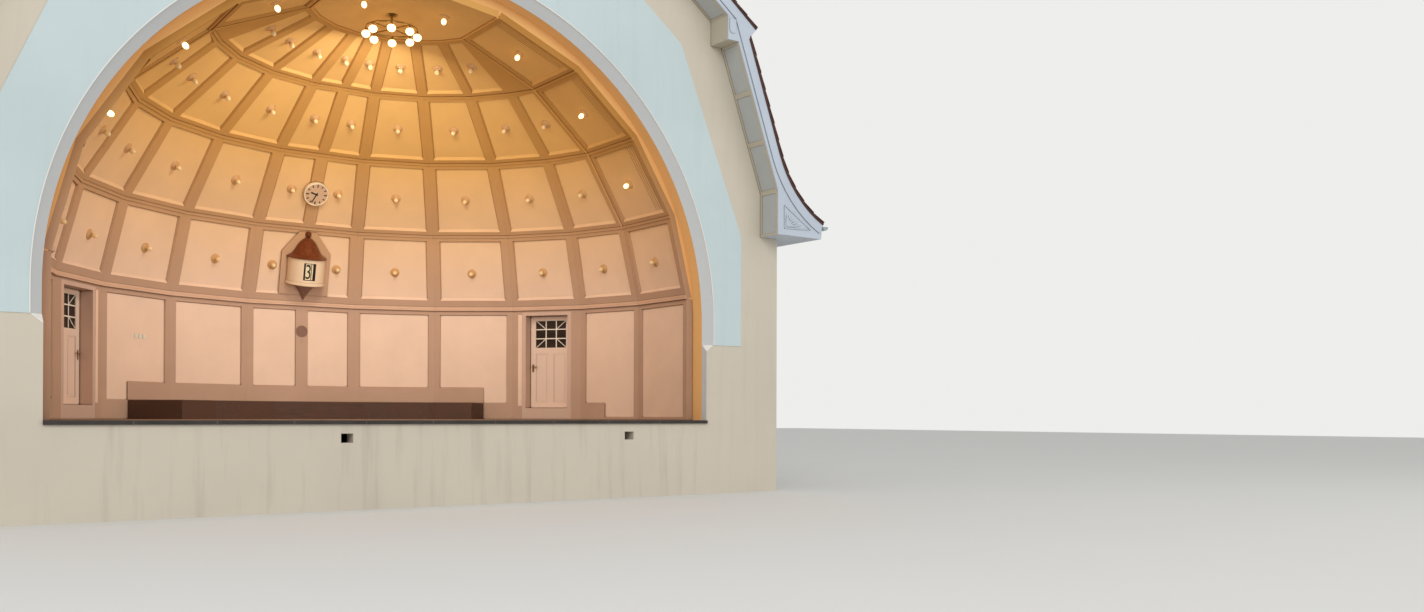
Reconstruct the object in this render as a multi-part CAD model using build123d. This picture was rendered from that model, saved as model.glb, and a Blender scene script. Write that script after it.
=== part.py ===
"""Concert band shell: a gambrel-roofed hall front with a round-arched stage opening
and a coffered polygonal half dome behind it.

Millimetres. X runs along the front, Y runs back into the building, Z is up.
The origin is on the ground below the middle of the building's box.
"""
from build123d import *
import math
import os

# Overall masonry
STAGE_RISE = 1450
HALL_HALF_WIDTH = 7555
HALL_DEPTH = 9500
FRONT_WALL = 460
SIDE_WALL = 300
REAR_WALL = 300

# Stage opening in the front wall
OPENING_RADIUS = 5750
SPRING_HEIGHT = 1900
ARCH_CHAMFER = 160
CHAMFER_STOP_HEIGHT = 1490

# Painted plaster band around the opening, with a white bead on its inner edge
BAND_THICKNESS = 12
BAND_SIDE_WIDTH = 860
BAND_HALF_WIDTH = OPENING_RADIUS + BAND_SIDE_WIDTH
BAND_KNEE_HEIGHT = 3700
BAND_SHOULDER_SET_IN = 1500
BAND_SHOULDER_HALF_WIDTH = BAND_HALF_WIDTH - BAND_SHOULDER_SET_IN
BAND_SHOULDER_HEIGHT = 7330
BEAD_WIDTH = 16
BEAD_THICKNESS = 24
STOP_LENGTH = 130
STOP_THICKNESS = 12

# Gambrel roof
UPPER_PITCH = 37
LOWER_PITCH = 70
BREAK_EAVE_SET_IN = 1058
BREAK_EAVE_HALF_WIDTH = HALL_HALF_WIDTH - BREAK_EAVE_SET_IN
BREAK_EAVE_HEIGHT = 7713
BREAK_UNDERCUT = 164
LOWER_TOP_HALF_WIDTH = BREAK_EAVE_HALF_WIDTH - BREAK_UNDERCUT
BREAK_DROP = 206
LOWER_TOP_HEIGHT = BREAK_EAVE_HEIGHT - BREAK_DROP
LOWER_STRAIGHT_RUN = 2312
FLARE_RADIUS = 2360
FLARE_TURN = 43.5
TILE_LAYER = 42
ROOF_DECK = 120
VERGE_OVERHANG = 600
TILE_VERGE_LIP = 15
RIDGE_RADIUS = 110

# Timber trim of the verges and eaves
BARGE_DEPTH = 265
BARGE_BACK_BOARD = 22
BARGE_FRONT_BOARD = 20
BARGE_FILLET_STRIP = 72
MITRE_GAP = 2
SOFFIT_BOARD = 25
BRACKET_LENGTH = 670
BRACKET_HALF_WIDTH = BREAK_EAVE_HALF_WIDTH - BRACKET_LENGTH
EAVES_BOX_HEIGHT = 3742
EAVES_BOX_OVERLAP = 455
EAVES_BOX_INNER = HALL_HALF_WIDTH - EAVES_BOX_OVERLAP
SOFFIT_PANEL_DEPTH = 12
SOFFIT_PANEL_LENGTH = 760
SOFFIT_PANEL_RAIL = 65
SOFFIT_PANEL_STILE = 95
EAVES_FASCIA = 28
GUTTER_RADIUS = 75
GUTTER_SHEET = 3
GUTTER_DROP = 25
GUTTER_TUCK = 2.4
SIDE_WALL_IN_BOX = 300

# Stage
COPING_HEIGHT = 60
COPING_NOSE = 45
STAGE_SLAB = 200
STAGE_FRONT_WALL = 300
VENT_WIDTH = 200
VENT_HEIGHT = 150
VENT_DROP = 150
VENT_PLACES = (-1450, 3940)
BACKSTAGE_STEP = 250
BACKSTAGE_FLOOR = 60
PODIUM_HEIGHT = 360
PODIUM_DEPTH = 1200
PODIUM_BOARD = 40
PODIUM_END_SHARE = 0.63

# Half dome: the pole of its ribs, and its plan at the main cornice
POLE_DEPTH = 1250
CORNICE_HEIGHT = 2428
DOME_SET_IN = 30
DOME_RADIUS = OPENING_RADIUS - DOME_SET_IN
ARCH_RIB_SET_IN = 130
ARCH_RIB_RADIUS = OPENING_RADIUS - ARCH_RIB_SET_IN
DOME_RISE = 5500
FIRST_RING_ANGLE = 5.5
ZONE_ANGLE = 17.3
ZONE_COUNT = 4
RIB_AZIMUTHS = (0, 11.5, 29.0, 46.8, 63.8)
CROWN_RING_RADIUS = 1600
CLOSURE_THICKNESS = 50
CLOSURE_LAP = 60
CLOSURE_SCRIBE = 40
BARREL_END_DEPTH = 2210
VAULT_SHELL = 120
RIB_HALF_WIDTH = 135
RIB_TAPER = 0.12
RING_ROLL = 52
RING_ROLL_RISE = 18
ROLLED_RIB = len(RIB_AZIMUTHS)
RIB_ROLL = 44
RIB_ROLL_RISE = 16
RAIL_BELOW = 105
RAIL_ABOVE = 110
COFFER_DEPTH = 42
COFFER_BEVEL = 24
COFFER_SILL_BEVEL = 52
COFFER_HEAD_BEVEL = 10

# Lower wall of the shell
SHELL_WALL = 278
WALL_RIB_HALF_WIDTH = 125
WALL_HEAD_BAND = 92
SKIRTING_HEIGHT = 340
BASE_HEIGHT = 50
PLINTH_LENGTH = 560
PANEL_DEPTH = 32
PANEL_BEVEL = 10
CORNICE_DEPTH = 82
CORNICE_PROJECTION = 45
CORNICE_COVE = 150

# Doors in the shell wall
DOOR_WIDTH = 1020
DOOR_HEIGHT = 2060
DOOR_SILL = 252
DOOR_FRAME = 88
DOOR_HEAD = 72
DOOR_REVEAL = 233
LEAF_THICKNESS = 45
LEAF_GAP = 8
LEAF_STILE = 126
LEAF_TOP_RAIL = 84
LEAF_RAIL = 125
LEAF_PANEL_DEPTH = 9
GLASS_HEIGHT = 615
GLASS_THICKNESS = 5
HINGE_RADIUS = 9
HINGE_PIN_RADIUS = 5
HINGE_HEIGHT = 90
HINGE_PLATE = 3
HINGE_LEAF = 40
HINGE_INSET = 220
HINGE_CLEARANCE = 1
HINGE_BORE_CLEARANCE = 0.1
HANDLE_HEIGHT = 915
HANDLE_INSET = 62
HANDLE_PLATE_HALF_WIDTH = 20
HANDLE_PLATE_THICKNESS = 6
HANDLE_PLATE_ABOVE = 60
HANDLE_PLATE_BELOW = 110
LEVER_LENGTH = 115
LEVER_STAND_OFF = 50
LEVER_HALF_WIDTH = 9
LEVER_THICKNESS = 14

# Fittings on the shell
CLOCK_RADIUS = 252
CLOCK_DEPTH = 90
CLOCK_RIM = 22
CLOCK_RIM_DEPTH = 14
LAMP_SIDES = 8
LAMP_MIN_WIDTH = 180
BOX_LAMP_SHARE = 0.62
LAMP_PROFILE = ((0, 62), (22, 62), (22, 26), (52, 40), (88, 40), (106, 18))
CROWN_LAMP_RADIUS = 450
CROWN_LAMP_SET_BACK = 600
CROWN_SIDE_LAMP = 750
CROWN_LAMP_TUBE = 18
CROWN_LAMP_DROP = 320
CROWN_LAMP_COUNT = 8
CROWN_STEM_RADIUS = 20
CROWN_STEM_ROSE = (110, 30)
CROWN_SPOKE_HALF = 12
CROWN_GLOBE_PROFILE = ((0, 15), (50, 30), (80, 75), (150, 75), (190, 30))
GRILLE_RADIUS = 121
GRILLE_THICKNESS = 18
GRILLE_HEIGHT = 1880

# Programme box on the middle rib of the lowest zone
BOARD_HALF_WIDTH = 517
BOARD_FOOT = 0.209
BOARD_SHOULDER = 0.693
BOARD_TOP = 0.955
BOARD_TOP_HALF_WIDTH = 185
BOARD_THICKNESS = 24
DRUM_RADIUS = 387
DRUM_FOOT = 0.30
DRUM_TOP = 0.63
DRUM_WINDOW_HALF_WIDTH = 122
DRUM_WINDOW_OFF_CENTRE = 60
DRUM_WINDOW_MARGIN = 75
DRUM_WINDOW_DEPTH = 60
DRUM_SHELF = 45
PENDANT_TIP = 30
PENDANT_WAIST = 90
DRUM_SHELF_LIP = 18
BELL_LIP = 32
BELL_TOP = 0.895
FINIAL_RADIUS = 56
BALL_SINK = 12
PENDANT_LENGTH = 300

# Clearance of a piece from its seat
SEAT = 0.3

# A face with corners further off its plane than this is split
FLAT_LIMIT = 1e-6


def section_solid(edges_or_points, y_start, y_end):
    """Solid from a closed outline of (x, z) points, drawn out along Y."""
    points = [Vector(x, y_start, z) for x, z in edges_or_points]
    face = Face(Wire.make_polygon(points, close=True))
    return extrude(face, amount=y_end - y_start, dir=(0, 1, 0))


def plan_solid(points, z_start, z_end):
    """Solid from a closed outline of (x, y) points, drawn up along Z."""
    outline = [Vector(x, y, z_start) for x, y in points]
    face = Face(Wire.make_polygon(outline, close=True))
    return extrude(face, amount=z_end - z_start, dir=(0, 0, 1))


def block(x_span, y_span, z_span):
    """Rectangular solid between three pairs of limits."""
    size = [abs(span[1] - span[0]) for span in (x_span, y_span, z_span)]
    middle = [(span[0] + span[1]) / 2 for span in (x_span, y_span, z_span)]
    return Pos(*middle) * Box(*size)


def mirrored(shape):
    """The same piece on the other side of the middle plane."""
    return mirror(shape, about=Plane.YZ)


def pair(shape):
    """A piece and its mirror image as one node."""
    return Compound(children=[shape.solid(), mirrored(shape).solid()])


def largest(cut):
    """The main solid that a cut leaves."""
    solids = cut.solids() if hasattr(cut, "solids") else cut
    return max(solids, key=lambda solid: solid.volume)


def turned_round(shape):
    """The same piece at the other end of the building."""
    return mirror(shape, about=Plane(origin=(0, HALL_DEPTH / 2, 0), z_dir=(0, 1, 0)))


def four_ways(shape):
    """A piece at both sides of both ends of the building, as one node."""
    front = [shape.solid(), mirrored(shape).solid()]
    return Compound(children=front + [turned_round(piece).solid() for piece in front])


def same_point(a, b):
    return (a - b).length < 0.01


def face_from(points):
    """One flat face, or two triangles where four points don't lie flat."""
    ring = []
    for point in points:
        if not ring or not same_point(point, ring[-1]):
            ring.append(point)
    if same_point(ring[0], ring[-1]):
        ring.pop()
    if len(ring) < 3:
        return []
    if len(ring) == 4:
        normal = (ring[1] - ring[0]).cross(ring[2] - ring[0]).normalized()
        if abs((ring[3] - ring[0]).dot(normal)) > FLAT_LIMIT:
            halves = (ring[0:3], [ring[0], ring[2], ring[3]])
            return [Face(Wire.make_polygon(half, close=True)) for half in halves]
    return [Face(Wire.make_polygon(ring, close=True))]


def polyhedron(outlines):
    """Solid closed by flat faces."""
    faces = []
    for outline in outlines:
        faces += face_from(outline)
    solid = Solid(Shell(faces))
    return solid if solid.volume > 0 else -solid


def span_solid(near, far):
    """Solid between two outlines with the same number of corners."""
    count = len(near)
    sides = []
    for k in range(count):
        n = (k + 1) % count
        sides.append([near[k], near[n], far[n], far[k]])
    return polyhedron([near, far] + sides)


# Roof outline

def polar(angle, length):
    radians = math.radians(angle)
    return Vector(length * math.cos(radians), length * math.sin(radians))


def lower_slope(offset):
    """Points of one lower slope with its flare, from the break down to the eave.

    The offset is measured outward from the top of the bargeboards.
    """
    outward = polar(90 - LOWER_PITCH, offset)
    start = Vector(LOWER_TOP_HALF_WIDTH, STAGE_RISE + LOWER_TOP_HEIGHT) + outward
    bend = start + polar(-LOWER_PITCH, LOWER_STRAIGHT_RUN)
    radius = FLARE_RADIUS - offset
    centre = bend + polar(90 - LOWER_PITCH, radius)
    points = [start, bend]
    steps = 8
    for k in range(1, steps + 1):
        angle = 270 - LOWER_PITCH + FLARE_TURN * k / steps
        points.append(centre + polar(angle, radius))
    return points


def upper_height(half_width, offset):
    """Height of the upper slope at a distance from the middle."""
    rise = (BREAK_EAVE_HALF_WIDTH - half_width) * math.tan(math.radians(UPPER_PITCH))
    lift = offset / math.cos(math.radians(UPPER_PITCH))
    return STAGE_RISE + BREAK_EAVE_HEIGHT + rise + lift


def knee(offset):
    """Where the upper and the lower slope cross at one offset."""
    lower_x = LOWER_TOP_HALF_WIDTH + offset / math.sin(math.radians(LOWER_PITCH))
    lower_z = STAGE_RISE + LOWER_TOP_HEIGHT
    steep = math.tan(math.radians(LOWER_PITCH))
    shallow = math.tan(math.radians(UPPER_PITCH))
    x = (upper_height(0, offset) - lower_z - steep * lower_x) / (shallow - steep)
    return Vector(x, upper_height(x, offset))


def xz(points):
    return [(point.X, point.Y) for point in points]


def under_deck_outline():
    """Half outline of a gable wall: from the ridge down below the roof deck."""
    slope = lower_slope(-ROOF_DECK)
    inside = [p for p in slope[1:] if p.X < HALL_HALF_WIDTH]
    outside = [p for p in slope[1:] if p.X >= HALL_HALF_WIDTH][0]
    last = inside[-1]
    share = (HALL_HALF_WIDTH - last.X) / (outside.X - last.X)
    corner = last + (outside - last) * share
    points = [Vector(0, upper_height(0, -ROOF_DECK)), knee(-ROOF_DECK)]
    return xz(points + inside + [corner])


def gable_outline(foot):
    half = under_deck_outline()
    left = [(-x, z) for x, z in reversed(half[1:])]
    return [(-HALL_HALF_WIDTH, foot)] + left + half + [(HALL_HALF_WIDTH, foot)]


SPRING_LINE = STAGE_RISE + SPRING_HEIGHT


def arch_cut():
    """The stage opening with its chamfered edge, from the stage up."""
    axis = Plane(origin=(0, -1, SPRING_LINE), z_dir=(0, 1, 0))
    barrel = Solid.make_cylinder(OPENING_RADIUS, FRONT_WALL + 2, axis)
    outer = OPENING_RADIUS + ARCH_CHAMFER
    front = Plane(origin=(0, 0, SPRING_LINE), z_dir=(0, 1, 0))
    cone = Solid.make_cone(outer, OPENING_RADIUS, ARCH_CHAMFER, front)
    top_half = block((-outer, outer), (-1, FRONT_WALL + 1), (SPRING_LINE, SPRING_LINE + outer))
    cutter = (barrel + cone) & top_half
    stop = STAGE_RISE + CHAMFER_STOP_HEIGHT
    wedge_plan = [(OPENING_RADIUS, -1), (outer + 1, -1), (OPENING_RADIUS, ARCH_CHAMFER)]
    wedge = plan_solid(wedge_plan, stop, SPRING_LINE)
    return cutter + wedge + mirrored(wedge)


def front_wall():
    cutter = arch_cut()
    pier = block((OPENING_RADIUS, HALL_HALF_WIDTH), (0, FRONT_WALL), (0, SPRING_LINE)) - cutter
    pier -= stop_cut()
    gable = section_solid(gable_outline(SPRING_LINE), 0, FRONT_WALL) - cutter
    reach = HALL_HALF_WIDTH + 10
    top = upper_height(0, 0)
    right = gable & block((0, reach), (-1, FRONT_WALL + 1), (0, top))
    return {
        "front_piers": pair(pier),
        "front_gable_right": right,
        "front_gable_left": mirrored(right),
    }


def arch_band():
    """Thin painted plaster band, polygonal outside and round inside."""
    foot = STAGE_RISE + CHAMFER_STOP_HEIGHT
    shoulder_z = STAGE_RISE + BAND_SHOULDER_HEIGHT
    slope = math.tan(math.radians(UPPER_PITCH))
    peak = shoulder_z + BAND_SHOULDER_HALF_WIDTH * slope
    half = [
        (BAND_HALF_WIDTH, foot),
        (BAND_HALF_WIDTH, STAGE_RISE + BAND_KNEE_HEIGHT),
        (BAND_SHOULDER_HALF_WIDTH, shoulder_z),
    ]
    left = [(-x, z) for x, z in reversed(half)]
    plate = section_solid(half + [(0, peak)] + left, -BAND_THICKNESS, 0)
    outer = OPENING_RADIUS + ARCH_CHAMFER
    axis = Plane(origin=(0, -BAND_THICKNESS - 1, SPRING_LINE), z_dir=(0, 1, 0))
    disc = Solid.make_cylinder(outer, BAND_THICKNESS + 2, axis)
    slot = block((-outer, outer), (-BAND_THICKNESS - 1, 1), (foot - 1, SPRING_LINE))
    bead_axis = Plane(origin=(0, -BEAD_THICKNESS, SPRING_LINE), z_dir=(0, 1, 0))
    wide = Solid.make_cylinder(outer + BEAD_WIDTH, BEAD_THICKNESS, bead_axis)
    hole = Solid.make_cylinder(outer, BEAD_THICKNESS, bead_axis)
    reach = outer + BEAD_WIDTH
    upper_half = block((-reach, reach), (-BEAD_THICKNESS, 0), (SPRING_LINE, SPRING_LINE + reach))
    arc = (wide - hole) & upper_half
    leg = block((outer, reach), (-BEAD_THICKNESS, 0), (foot, SPRING_LINE))
    bead = arc + leg + mirrored(leg)
    return {"arch_band": plate - disc - slot - bead, "arch_bead": bead}


def stop_outline():
    """Corners of the sloping stop below the chamfer: across the top and at the tip."""
    top = STAGE_RISE + CHAMFER_STOP_HEIGHT
    return [Vector(OPENING_RADIUS + ARCH_CHAMFER, 0, top), Vector(OPENING_RADIUS, ARCH_CHAMFER, top),
            Vector(OPENING_RADIUS, 0, top - STOP_LENGTH)]


def stop_cut():
    """Corner of the pier that the sloping stop takes away."""
    wide, deep, tip = stop_outline()
    corner = Vector(OPENING_RADIUS, 0, wide.Z)
    return polyhedron([[wide, deep, tip], [corner, wide, tip], [corner, deep, tip],
                       [corner, wide, deep]])


def chamfer_stops():
    """White painted facing on the sloping stop at each foot of the chamfer."""
    wide, deep, tip = stop_outline()
    normal = (deep - wide).cross(tip - wide).normalized()
    if normal.Y > 0:
        normal = -normal
    cut = stop_cut()
    facing = cut - Pos(*(normal * STOP_THICKNESS)) * cut
    return {"chamfer_stops": pair(facing)}


def outer_walls():
    wall_top = STAGE_RISE + EAVES_BOX_HEIGHT + SIDE_WALL_IN_BOX
    side = block((HALL_HALF_WIDTH - SIDE_WALL, HALL_HALF_WIDTH),
                 (FRONT_WALL, HALL_DEPTH - REAR_WALL), (0, wall_top))
    rear = section_solid(gable_outline(0), HALL_DEPTH - REAR_WALL, HALL_DEPTH)
    return {"side_walls": pair(side), "rear_wall": rear}


def roof():
    front = -VERGE_OVERHANG
    rear = HALL_DEPTH + VERGE_OVERHANG
    barge = BARGE_BACK_BOARD + BARGE_FRONT_BOARD
    deck_ends = (front + barge, rear - barge)
    tile_ends = (front - TILE_VERGE_LIP, rear + TILE_VERGE_LIP)
    break_corner = (BREAK_EAVE_HALF_WIDTH, STAGE_RISE + BREAK_EAVE_HEIGHT)
    lower_top = (LOWER_TOP_HALF_WIDTH, STAGE_RISE + LOWER_TOP_HEIGHT)
    lift = polar(90 - UPPER_PITCH, TILE_LAYER)
    tile_corner = (break_corner[0] + lift.X, break_corner[1] + lift.Y)
    upper_tiles = [(0, upper_height(0, 0)), (0, upper_height(0, TILE_LAYER)),
                   tile_corner, break_corner]
    inner_knee = knee(-ROOF_DECK)
    upper_deck = [(0, upper_height(0, -ROOF_DECK)), (0, upper_height(0, 0)), break_corner,
                  lower_top, (inner_knee.X, inner_knee.Y)]
    upper = section_solid(upper_tiles, *tile_ends) + section_solid(upper_deck, *deck_ends)
    top_line = xz(lower_slope(TILE_LAYER))
    mid_line = xz(lower_slope(0))
    low_line = xz(lower_slope(-ROOF_DECK))[1:]
    lower_tiles = mid_line + list(reversed(top_line))
    lower_deck = mid_line + list(reversed(low_line)) + [(inner_knee.X, inner_knee.Y)]
    lower = section_solid(lower_tiles, *tile_ends) + section_solid(lower_deck, *deck_ends)
    return {
        "roof_upper_right": upper,
        "roof_upper_left": mirrored(upper),
        "roof_lower_slopes": pair(lower),
        "ridge_tiles": ridge(tile_ends),
    }


def ridge(ends):
    """Half-round ridge tiles that ride on the two upper slopes."""
    axis = Plane(origin=(0, ends[0], upper_height(0, TILE_LAYER)), z_dir=(0, 1, 0))
    round_bar = Solid.make_cylinder(RIDGE_RADIUS, ends[1] - ends[0], axis)
    reach = 2 * RIDGE_RADIUS
    side_z = upper_height(reach, TILE_LAYER)
    below = [(-reach, side_z), (0, upper_height(0, TILE_LAYER)), (reach, side_z)]
    return round_bar - section_solid(below + [(0, side_z - reach)], ends[0] - 1, ends[1] + 1)


def verge_line(depth):
    """Lower edge of a verge board, from the middle to the foot of the eaves box."""
    slope_top = lower_slope(-depth)[0]
    bottom = STAGE_RISE + EAVES_BOX_HEIGHT
    run = math.tan(math.radians(LOWER_PITCH))
    box_side = EAVES_BOX_INNER + BARGE_DEPTH - depth
    bracket_side = BRACKET_HALF_WIDTH + BARGE_DEPTH - depth
    bracket_foot = slope_top.Y
    if depth < BARGE_DEPTH:
        foot = lower_slope(-BARGE_DEPTH)[0].Y
        bracket_foot = foot + BARGE_DEPTH - depth
        slope_top = Vector(slope_top.X - (bracket_foot - slope_top.Y) / run, bracket_foot)
    return [
        (0, upper_height(0, -depth)),
        (bracket_side, upper_height(bracket_side, -depth)),
        (bracket_side, bracket_foot),
        (slope_top.X, slope_top.Y),
        (box_side, slope_top.Y - (box_side - slope_top.X) * run),
        (box_side, bottom),
    ]


def roof_edge_line():
    """Upper edge of a verge board, from the middle to the eave."""
    break_corner = (BREAK_EAVE_HALF_WIDTH, STAGE_RISE + BREAK_EAVE_HEIGHT)
    return [(0, upper_height(0, 0)), break_corner] + xz(lower_slope(0))


def bargeboards():
    """Verge boards in two layers: a full board, and a narrower one along the roof edge."""
    front = -VERGE_OVERHANG
    face_line = front + BARGE_FRONT_BOARD
    back_line = face_line + BARGE_BACK_BOARD
    edge = roof_edge_line()
    bottom = STAGE_RISE + EAVES_BOX_HEIGHT
    outline = edge + [(edge[-1][0] - EAVES_FASCIA, bottom)] + list(reversed(verge_line(BARGE_DEPTH)))
    strip = BARGE_DEPTH - BARGE_FILLET_STRIP
    inner_knee = knee(-strip)
    face_outline = edge + xz(list(reversed(lower_slope(-strip)[1:])))
    face_outline += [(inner_knee.X, inner_knee.Y), (0, upper_height(0, -strip))]
    board = section_solid(outline, face_line, back_line) + section_solid(face_outline, front, face_line)
    board -= block((-1, MITRE_GAP / 2), (front - 1, back_line + 1), (0, edge[0][1] + 1))
    return {"bargeboards": four_ways(board)}


def soffits():
    """Boarded underside of the verges, with the bracket and the box side, and the eaves boxes."""
    back_line = -VERGE_OVERHANG + BARGE_BACK_BOARD + BARGE_FRONT_BOARD
    outline = verge_line(BARGE_DEPTH) + list(reversed(verge_line(BARGE_DEPTH - SOFFIT_BOARD)))
    half = section_solid(outline, back_line, 0)
    half -= block((-1, MITRE_GAP / 2), (back_line - 1, 1), (0, outline[-1][1] + 1))
    for panel in soffit_panels(back_line):
        half -= panel
    bottom = STAGE_RISE + EAVES_BOX_HEIGHT
    edge = lower_slope(0)[-1].X - EAVES_FASCIA
    whole = (back_line, HALL_DEPTH - back_line)
    board = block((HALL_HALF_WIDTH, edge), whole, (bottom, bottom + SOFFIT_BOARD))
    for ends in ((back_line, 0), (HALL_DEPTH, HALL_DEPTH - back_line)):
        board += block((EAVES_BOX_INNER + SOFFIT_BOARD, HALL_HALF_WIDTH), ends,
                       (bottom, bottom + SOFFIT_BOARD))
    deck_foot = xz(lower_slope(-ROOF_DECK))
    deck = section_solid(xz(lower_slope(0)) + list(reversed(deck_foot)), *whole)
    fascia = block((edge - EAVES_FASCIA, edge), whole, (bottom, deck_foot[-1][1] + ROOF_DECK))
    box = board + (fascia - deck)
    return {"verge_soffits": four_ways(half), "eaves_boxes": pair(box)}


def soffit_panels(back_line):
    """Sunk panels in the underside of the verge, one row along each straight run."""
    line = verge_line(BARGE_DEPTH)
    deep = verge_line(BARGE_DEPTH - SOFFIT_PANEL_DEPTH)
    cutters = []
    for run in (0, 3, 4):
        a, b = Vector(*line[run]), Vector(*line[run + 1])
        a_deep = Vector(*deep[run])
        along = (b - a).normalized()
        into = (a_deep - a) - along * (a_deep - a).dot(along)
        length = (b - a).length
        count = max(1, round(length / (SOFFIT_PANEL_LENGTH + SOFFIT_PANEL_STILE)))
        pitch = length / count
        for k in range(count):
            start = a + along * (pitch * k + SOFFIT_PANEL_STILE / 2)
            end = a + along * (pitch * (k + 1) - SOFFIT_PANEL_STILE / 2)
            corners = [start - into, end - into, end + into, start + into]
            cutters.append(section_solid(xz(corners), back_line + SOFFIT_PANEL_RAIL,
                                         -SOFFIT_PANEL_RAIL))
    return cutters


def gutters():
    """Half-round gutters hung before the eaves."""
    tip = lower_slope(0)[-1]
    centre_x = tip.X + GUTTER_RADIUS - GUTTER_TUCK
    centre_z = tip.Y - GUTTER_DROP
    start = -VERGE_OVERHANG
    length = HALL_DEPTH + 2 * VERGE_OVERHANG
    plane = Plane(origin=(centre_x, start, centre_z), z_dir=(0, 1, 0))
    inner_plane = Plane(origin=(centre_x, start + GUTTER_SHEET, centre_z), z_dir=(0, 1, 0))
    outside = Solid.make_cylinder(GUTTER_RADIUS, length, plane)
    inside = Solid.make_cylinder(GUTTER_RADIUS - GUTTER_SHEET, length - 2 * GUTTER_SHEET, inner_plane)
    reach = 2 * GUTTER_RADIUS
    lid = block((centre_x - reach, centre_x + reach), (start - 1, start + length + 1),
                (centre_z, centre_z + reach))
    return {"gutters": pair(outside - inside - lid)}


# Plan and ribs of the half dome

def ring_angle(k):
    return math.radians(FIRST_RING_ANGLE + ZONE_ANGLE * k)


def ring_height(k):
    first = DOME_RISE * math.sin(ring_angle(0))
    lift = DOME_RISE * math.sin(ring_angle(k)) - first
    return STAGE_RISE + CORNICE_HEIGHT + lift


def rib_point(rib, radius, height):
    """Point at a distance from the pole, on the rib's own azimuth."""
    azimuth = math.radians(RIB_AZIMUTHS[rib])
    return Vector(radius * math.sin(azimuth), POLE_DEPTH + radius * math.cos(azimuth), height)


def arch_half_width(k):
    """Half width of the barrel at ring k; at the crown ring it meets the last rib."""
    if k == ZONE_COUNT:
        return rib_point(4, CROWN_RING_RADIUS, 0).X
    return ARCH_RIB_RADIUS * math.cos(ring_angle(k))


def ring_corner(rib, k):
    """Corner of ring k at a rib: 0 is the back rib, 5 ends the barrel, 6 is the front."""
    height = ring_height(k)
    radius = CROWN_RING_RADIUS if k == ZONE_COUNT else DOME_RADIUS * math.cos(ring_angle(k))
    if rib == 6:
        return Vector(arch_half_width(k), FRONT_WALL, height)
    if rib == 5:
        crown = rib_point(4, CROWN_RING_RADIUS, height)
        cornice_half = arch_half_width(0)
        share = (arch_half_width(k) - crown.X) / (cornice_half - crown.X)
        return Vector(arch_half_width(k), crown.Y + share * (BARREL_END_DEPTH - crown.Y), height)
    if rib == 0:
        return Vector(0, rib_point(1, radius, height).Y, height)
    return rib_point(rib, radius, height)


def facet_angle(k):
    """Slope angle of zone k, the facet between rings k and k + 1."""
    low, high = ring_corner(0, k), ring_corner(0, k + 1)
    return math.atan2(high.Z - low.Z, low.Y - high.Y)


def ring_normal(k):
    """Outward direction at a ring as (horizontal, vertical) parts."""
    below = facet_angle(max(k - 1, 0))
    above = facet_angle(min(k, ZONE_COUNT - 1))
    middle = (below + above) / 2
    return math.sin(middle), math.cos(middle)


def rib_outward(rib):
    """Horizontal direction that points out of the shell at a rib."""
    if rib == 6:
        return Vector(1, 0, 0)
    if rib == 5:
        low, high = ring_corner(5, 0), ring_corner(5, ZONE_COUNT)
        return Vector(low.X - high.X, low.Y - high.Y, 0).normalized()
    azimuth = math.radians(RIB_AZIMUTHS[rib])
    return Vector(math.sin(azimuth), math.cos(azimuth), 0)


def offset_point(point, rib, k, distance):
    across, up = ring_normal(k)
    return point + rib_outward(rib) * (across * distance) + Vector(0, 0, up * distance)


def rib_section(rib):
    """Closed outline of the vault's shell at one rib, with the raised rolls of its rings."""
    inner = [ring_corner(rib, 0)]
    half = RING_ROLL / 2
    for k in range(1, ZONE_COUNT):
        here = ring_corner(rib, k)
        below, above = ring_corner(rib, k - 1), ring_corner(rib, k + 1)
        down = here + (below - here) * (half / (here - below).length)
        up = here + (above - here) * (half / (above - here).length)
        inner.append(down)
        for point in (down, here, up):
            inner.append(offset_point(point, rib, k, -RING_ROLL_RISE))
        inner.append(up)
    inner.append(ring_corner(rib, ZONE_COUNT))
    levels = range(ZONE_COUNT, -1, -1)
    outer = [offset_point(ring_corner(rib, k), rib, k, VAULT_SHELL) for k in levels]
    return inner + outer


def inset_quad(corners, side, low, high):
    """Corners drawn in from the two ribs and from the rings below and above."""
    a, b, c, d = corners
    along = (b - a).normalized()
    left, right = (d - a), (c - b)
    height = (left - along * left.dot(along)).length
    rise = (left - along * left.dot(along)).normalized()
    lean_left = left.dot(along) / height
    lean_right = right.dot(along) / height
    widen_left = side * math.sqrt(1 + lean_left ** 2)
    widen_right = side * math.sqrt(1 + lean_right ** 2)
    span = (b - a).length

    def place(level, at_left):
        if at_left:
            return a + rise * level + along * (lean_left * level + widen_left)
        return a + rise * level + along * (span + lean_right * level - widen_right)

    return [place(low, True), place(low, False), place(height - high, False),
            place(height - high, True)]


def coffer_cutter(corners, outward, margins, depth, bevels):
    """Sunk panel with sloping edges, open toward the stage.

    Margins and bevels are given for the sides, the foot and the head.
    """
    front = [p - outward * 1 for p in inset_quad(corners, *margins)]
    inner = [margin + bevel for margin, bevel in zip(margins, bevels)]
    back = [p + outward * depth for p in inset_quad(corners, *inner)]
    return span_solid(front, back)


def bay_corners(rib, k):
    """Corners of one bay of a zone, and its outward direction."""
    corners = [ring_corner(rib, k), ring_corner(rib + 1, k),
               ring_corner(rib + 1, k + 1), ring_corner(rib, k + 1)]
    outward = (corners[3] - corners[0]).cross(corners[1] - corners[0]).normalized()
    return corners, outward


def has_coffer(rib, k):
    corners, _ = bay_corners(rib, k)
    return (corners[2] - corners[3]).length > RIB_HALF_WIDTH


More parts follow.
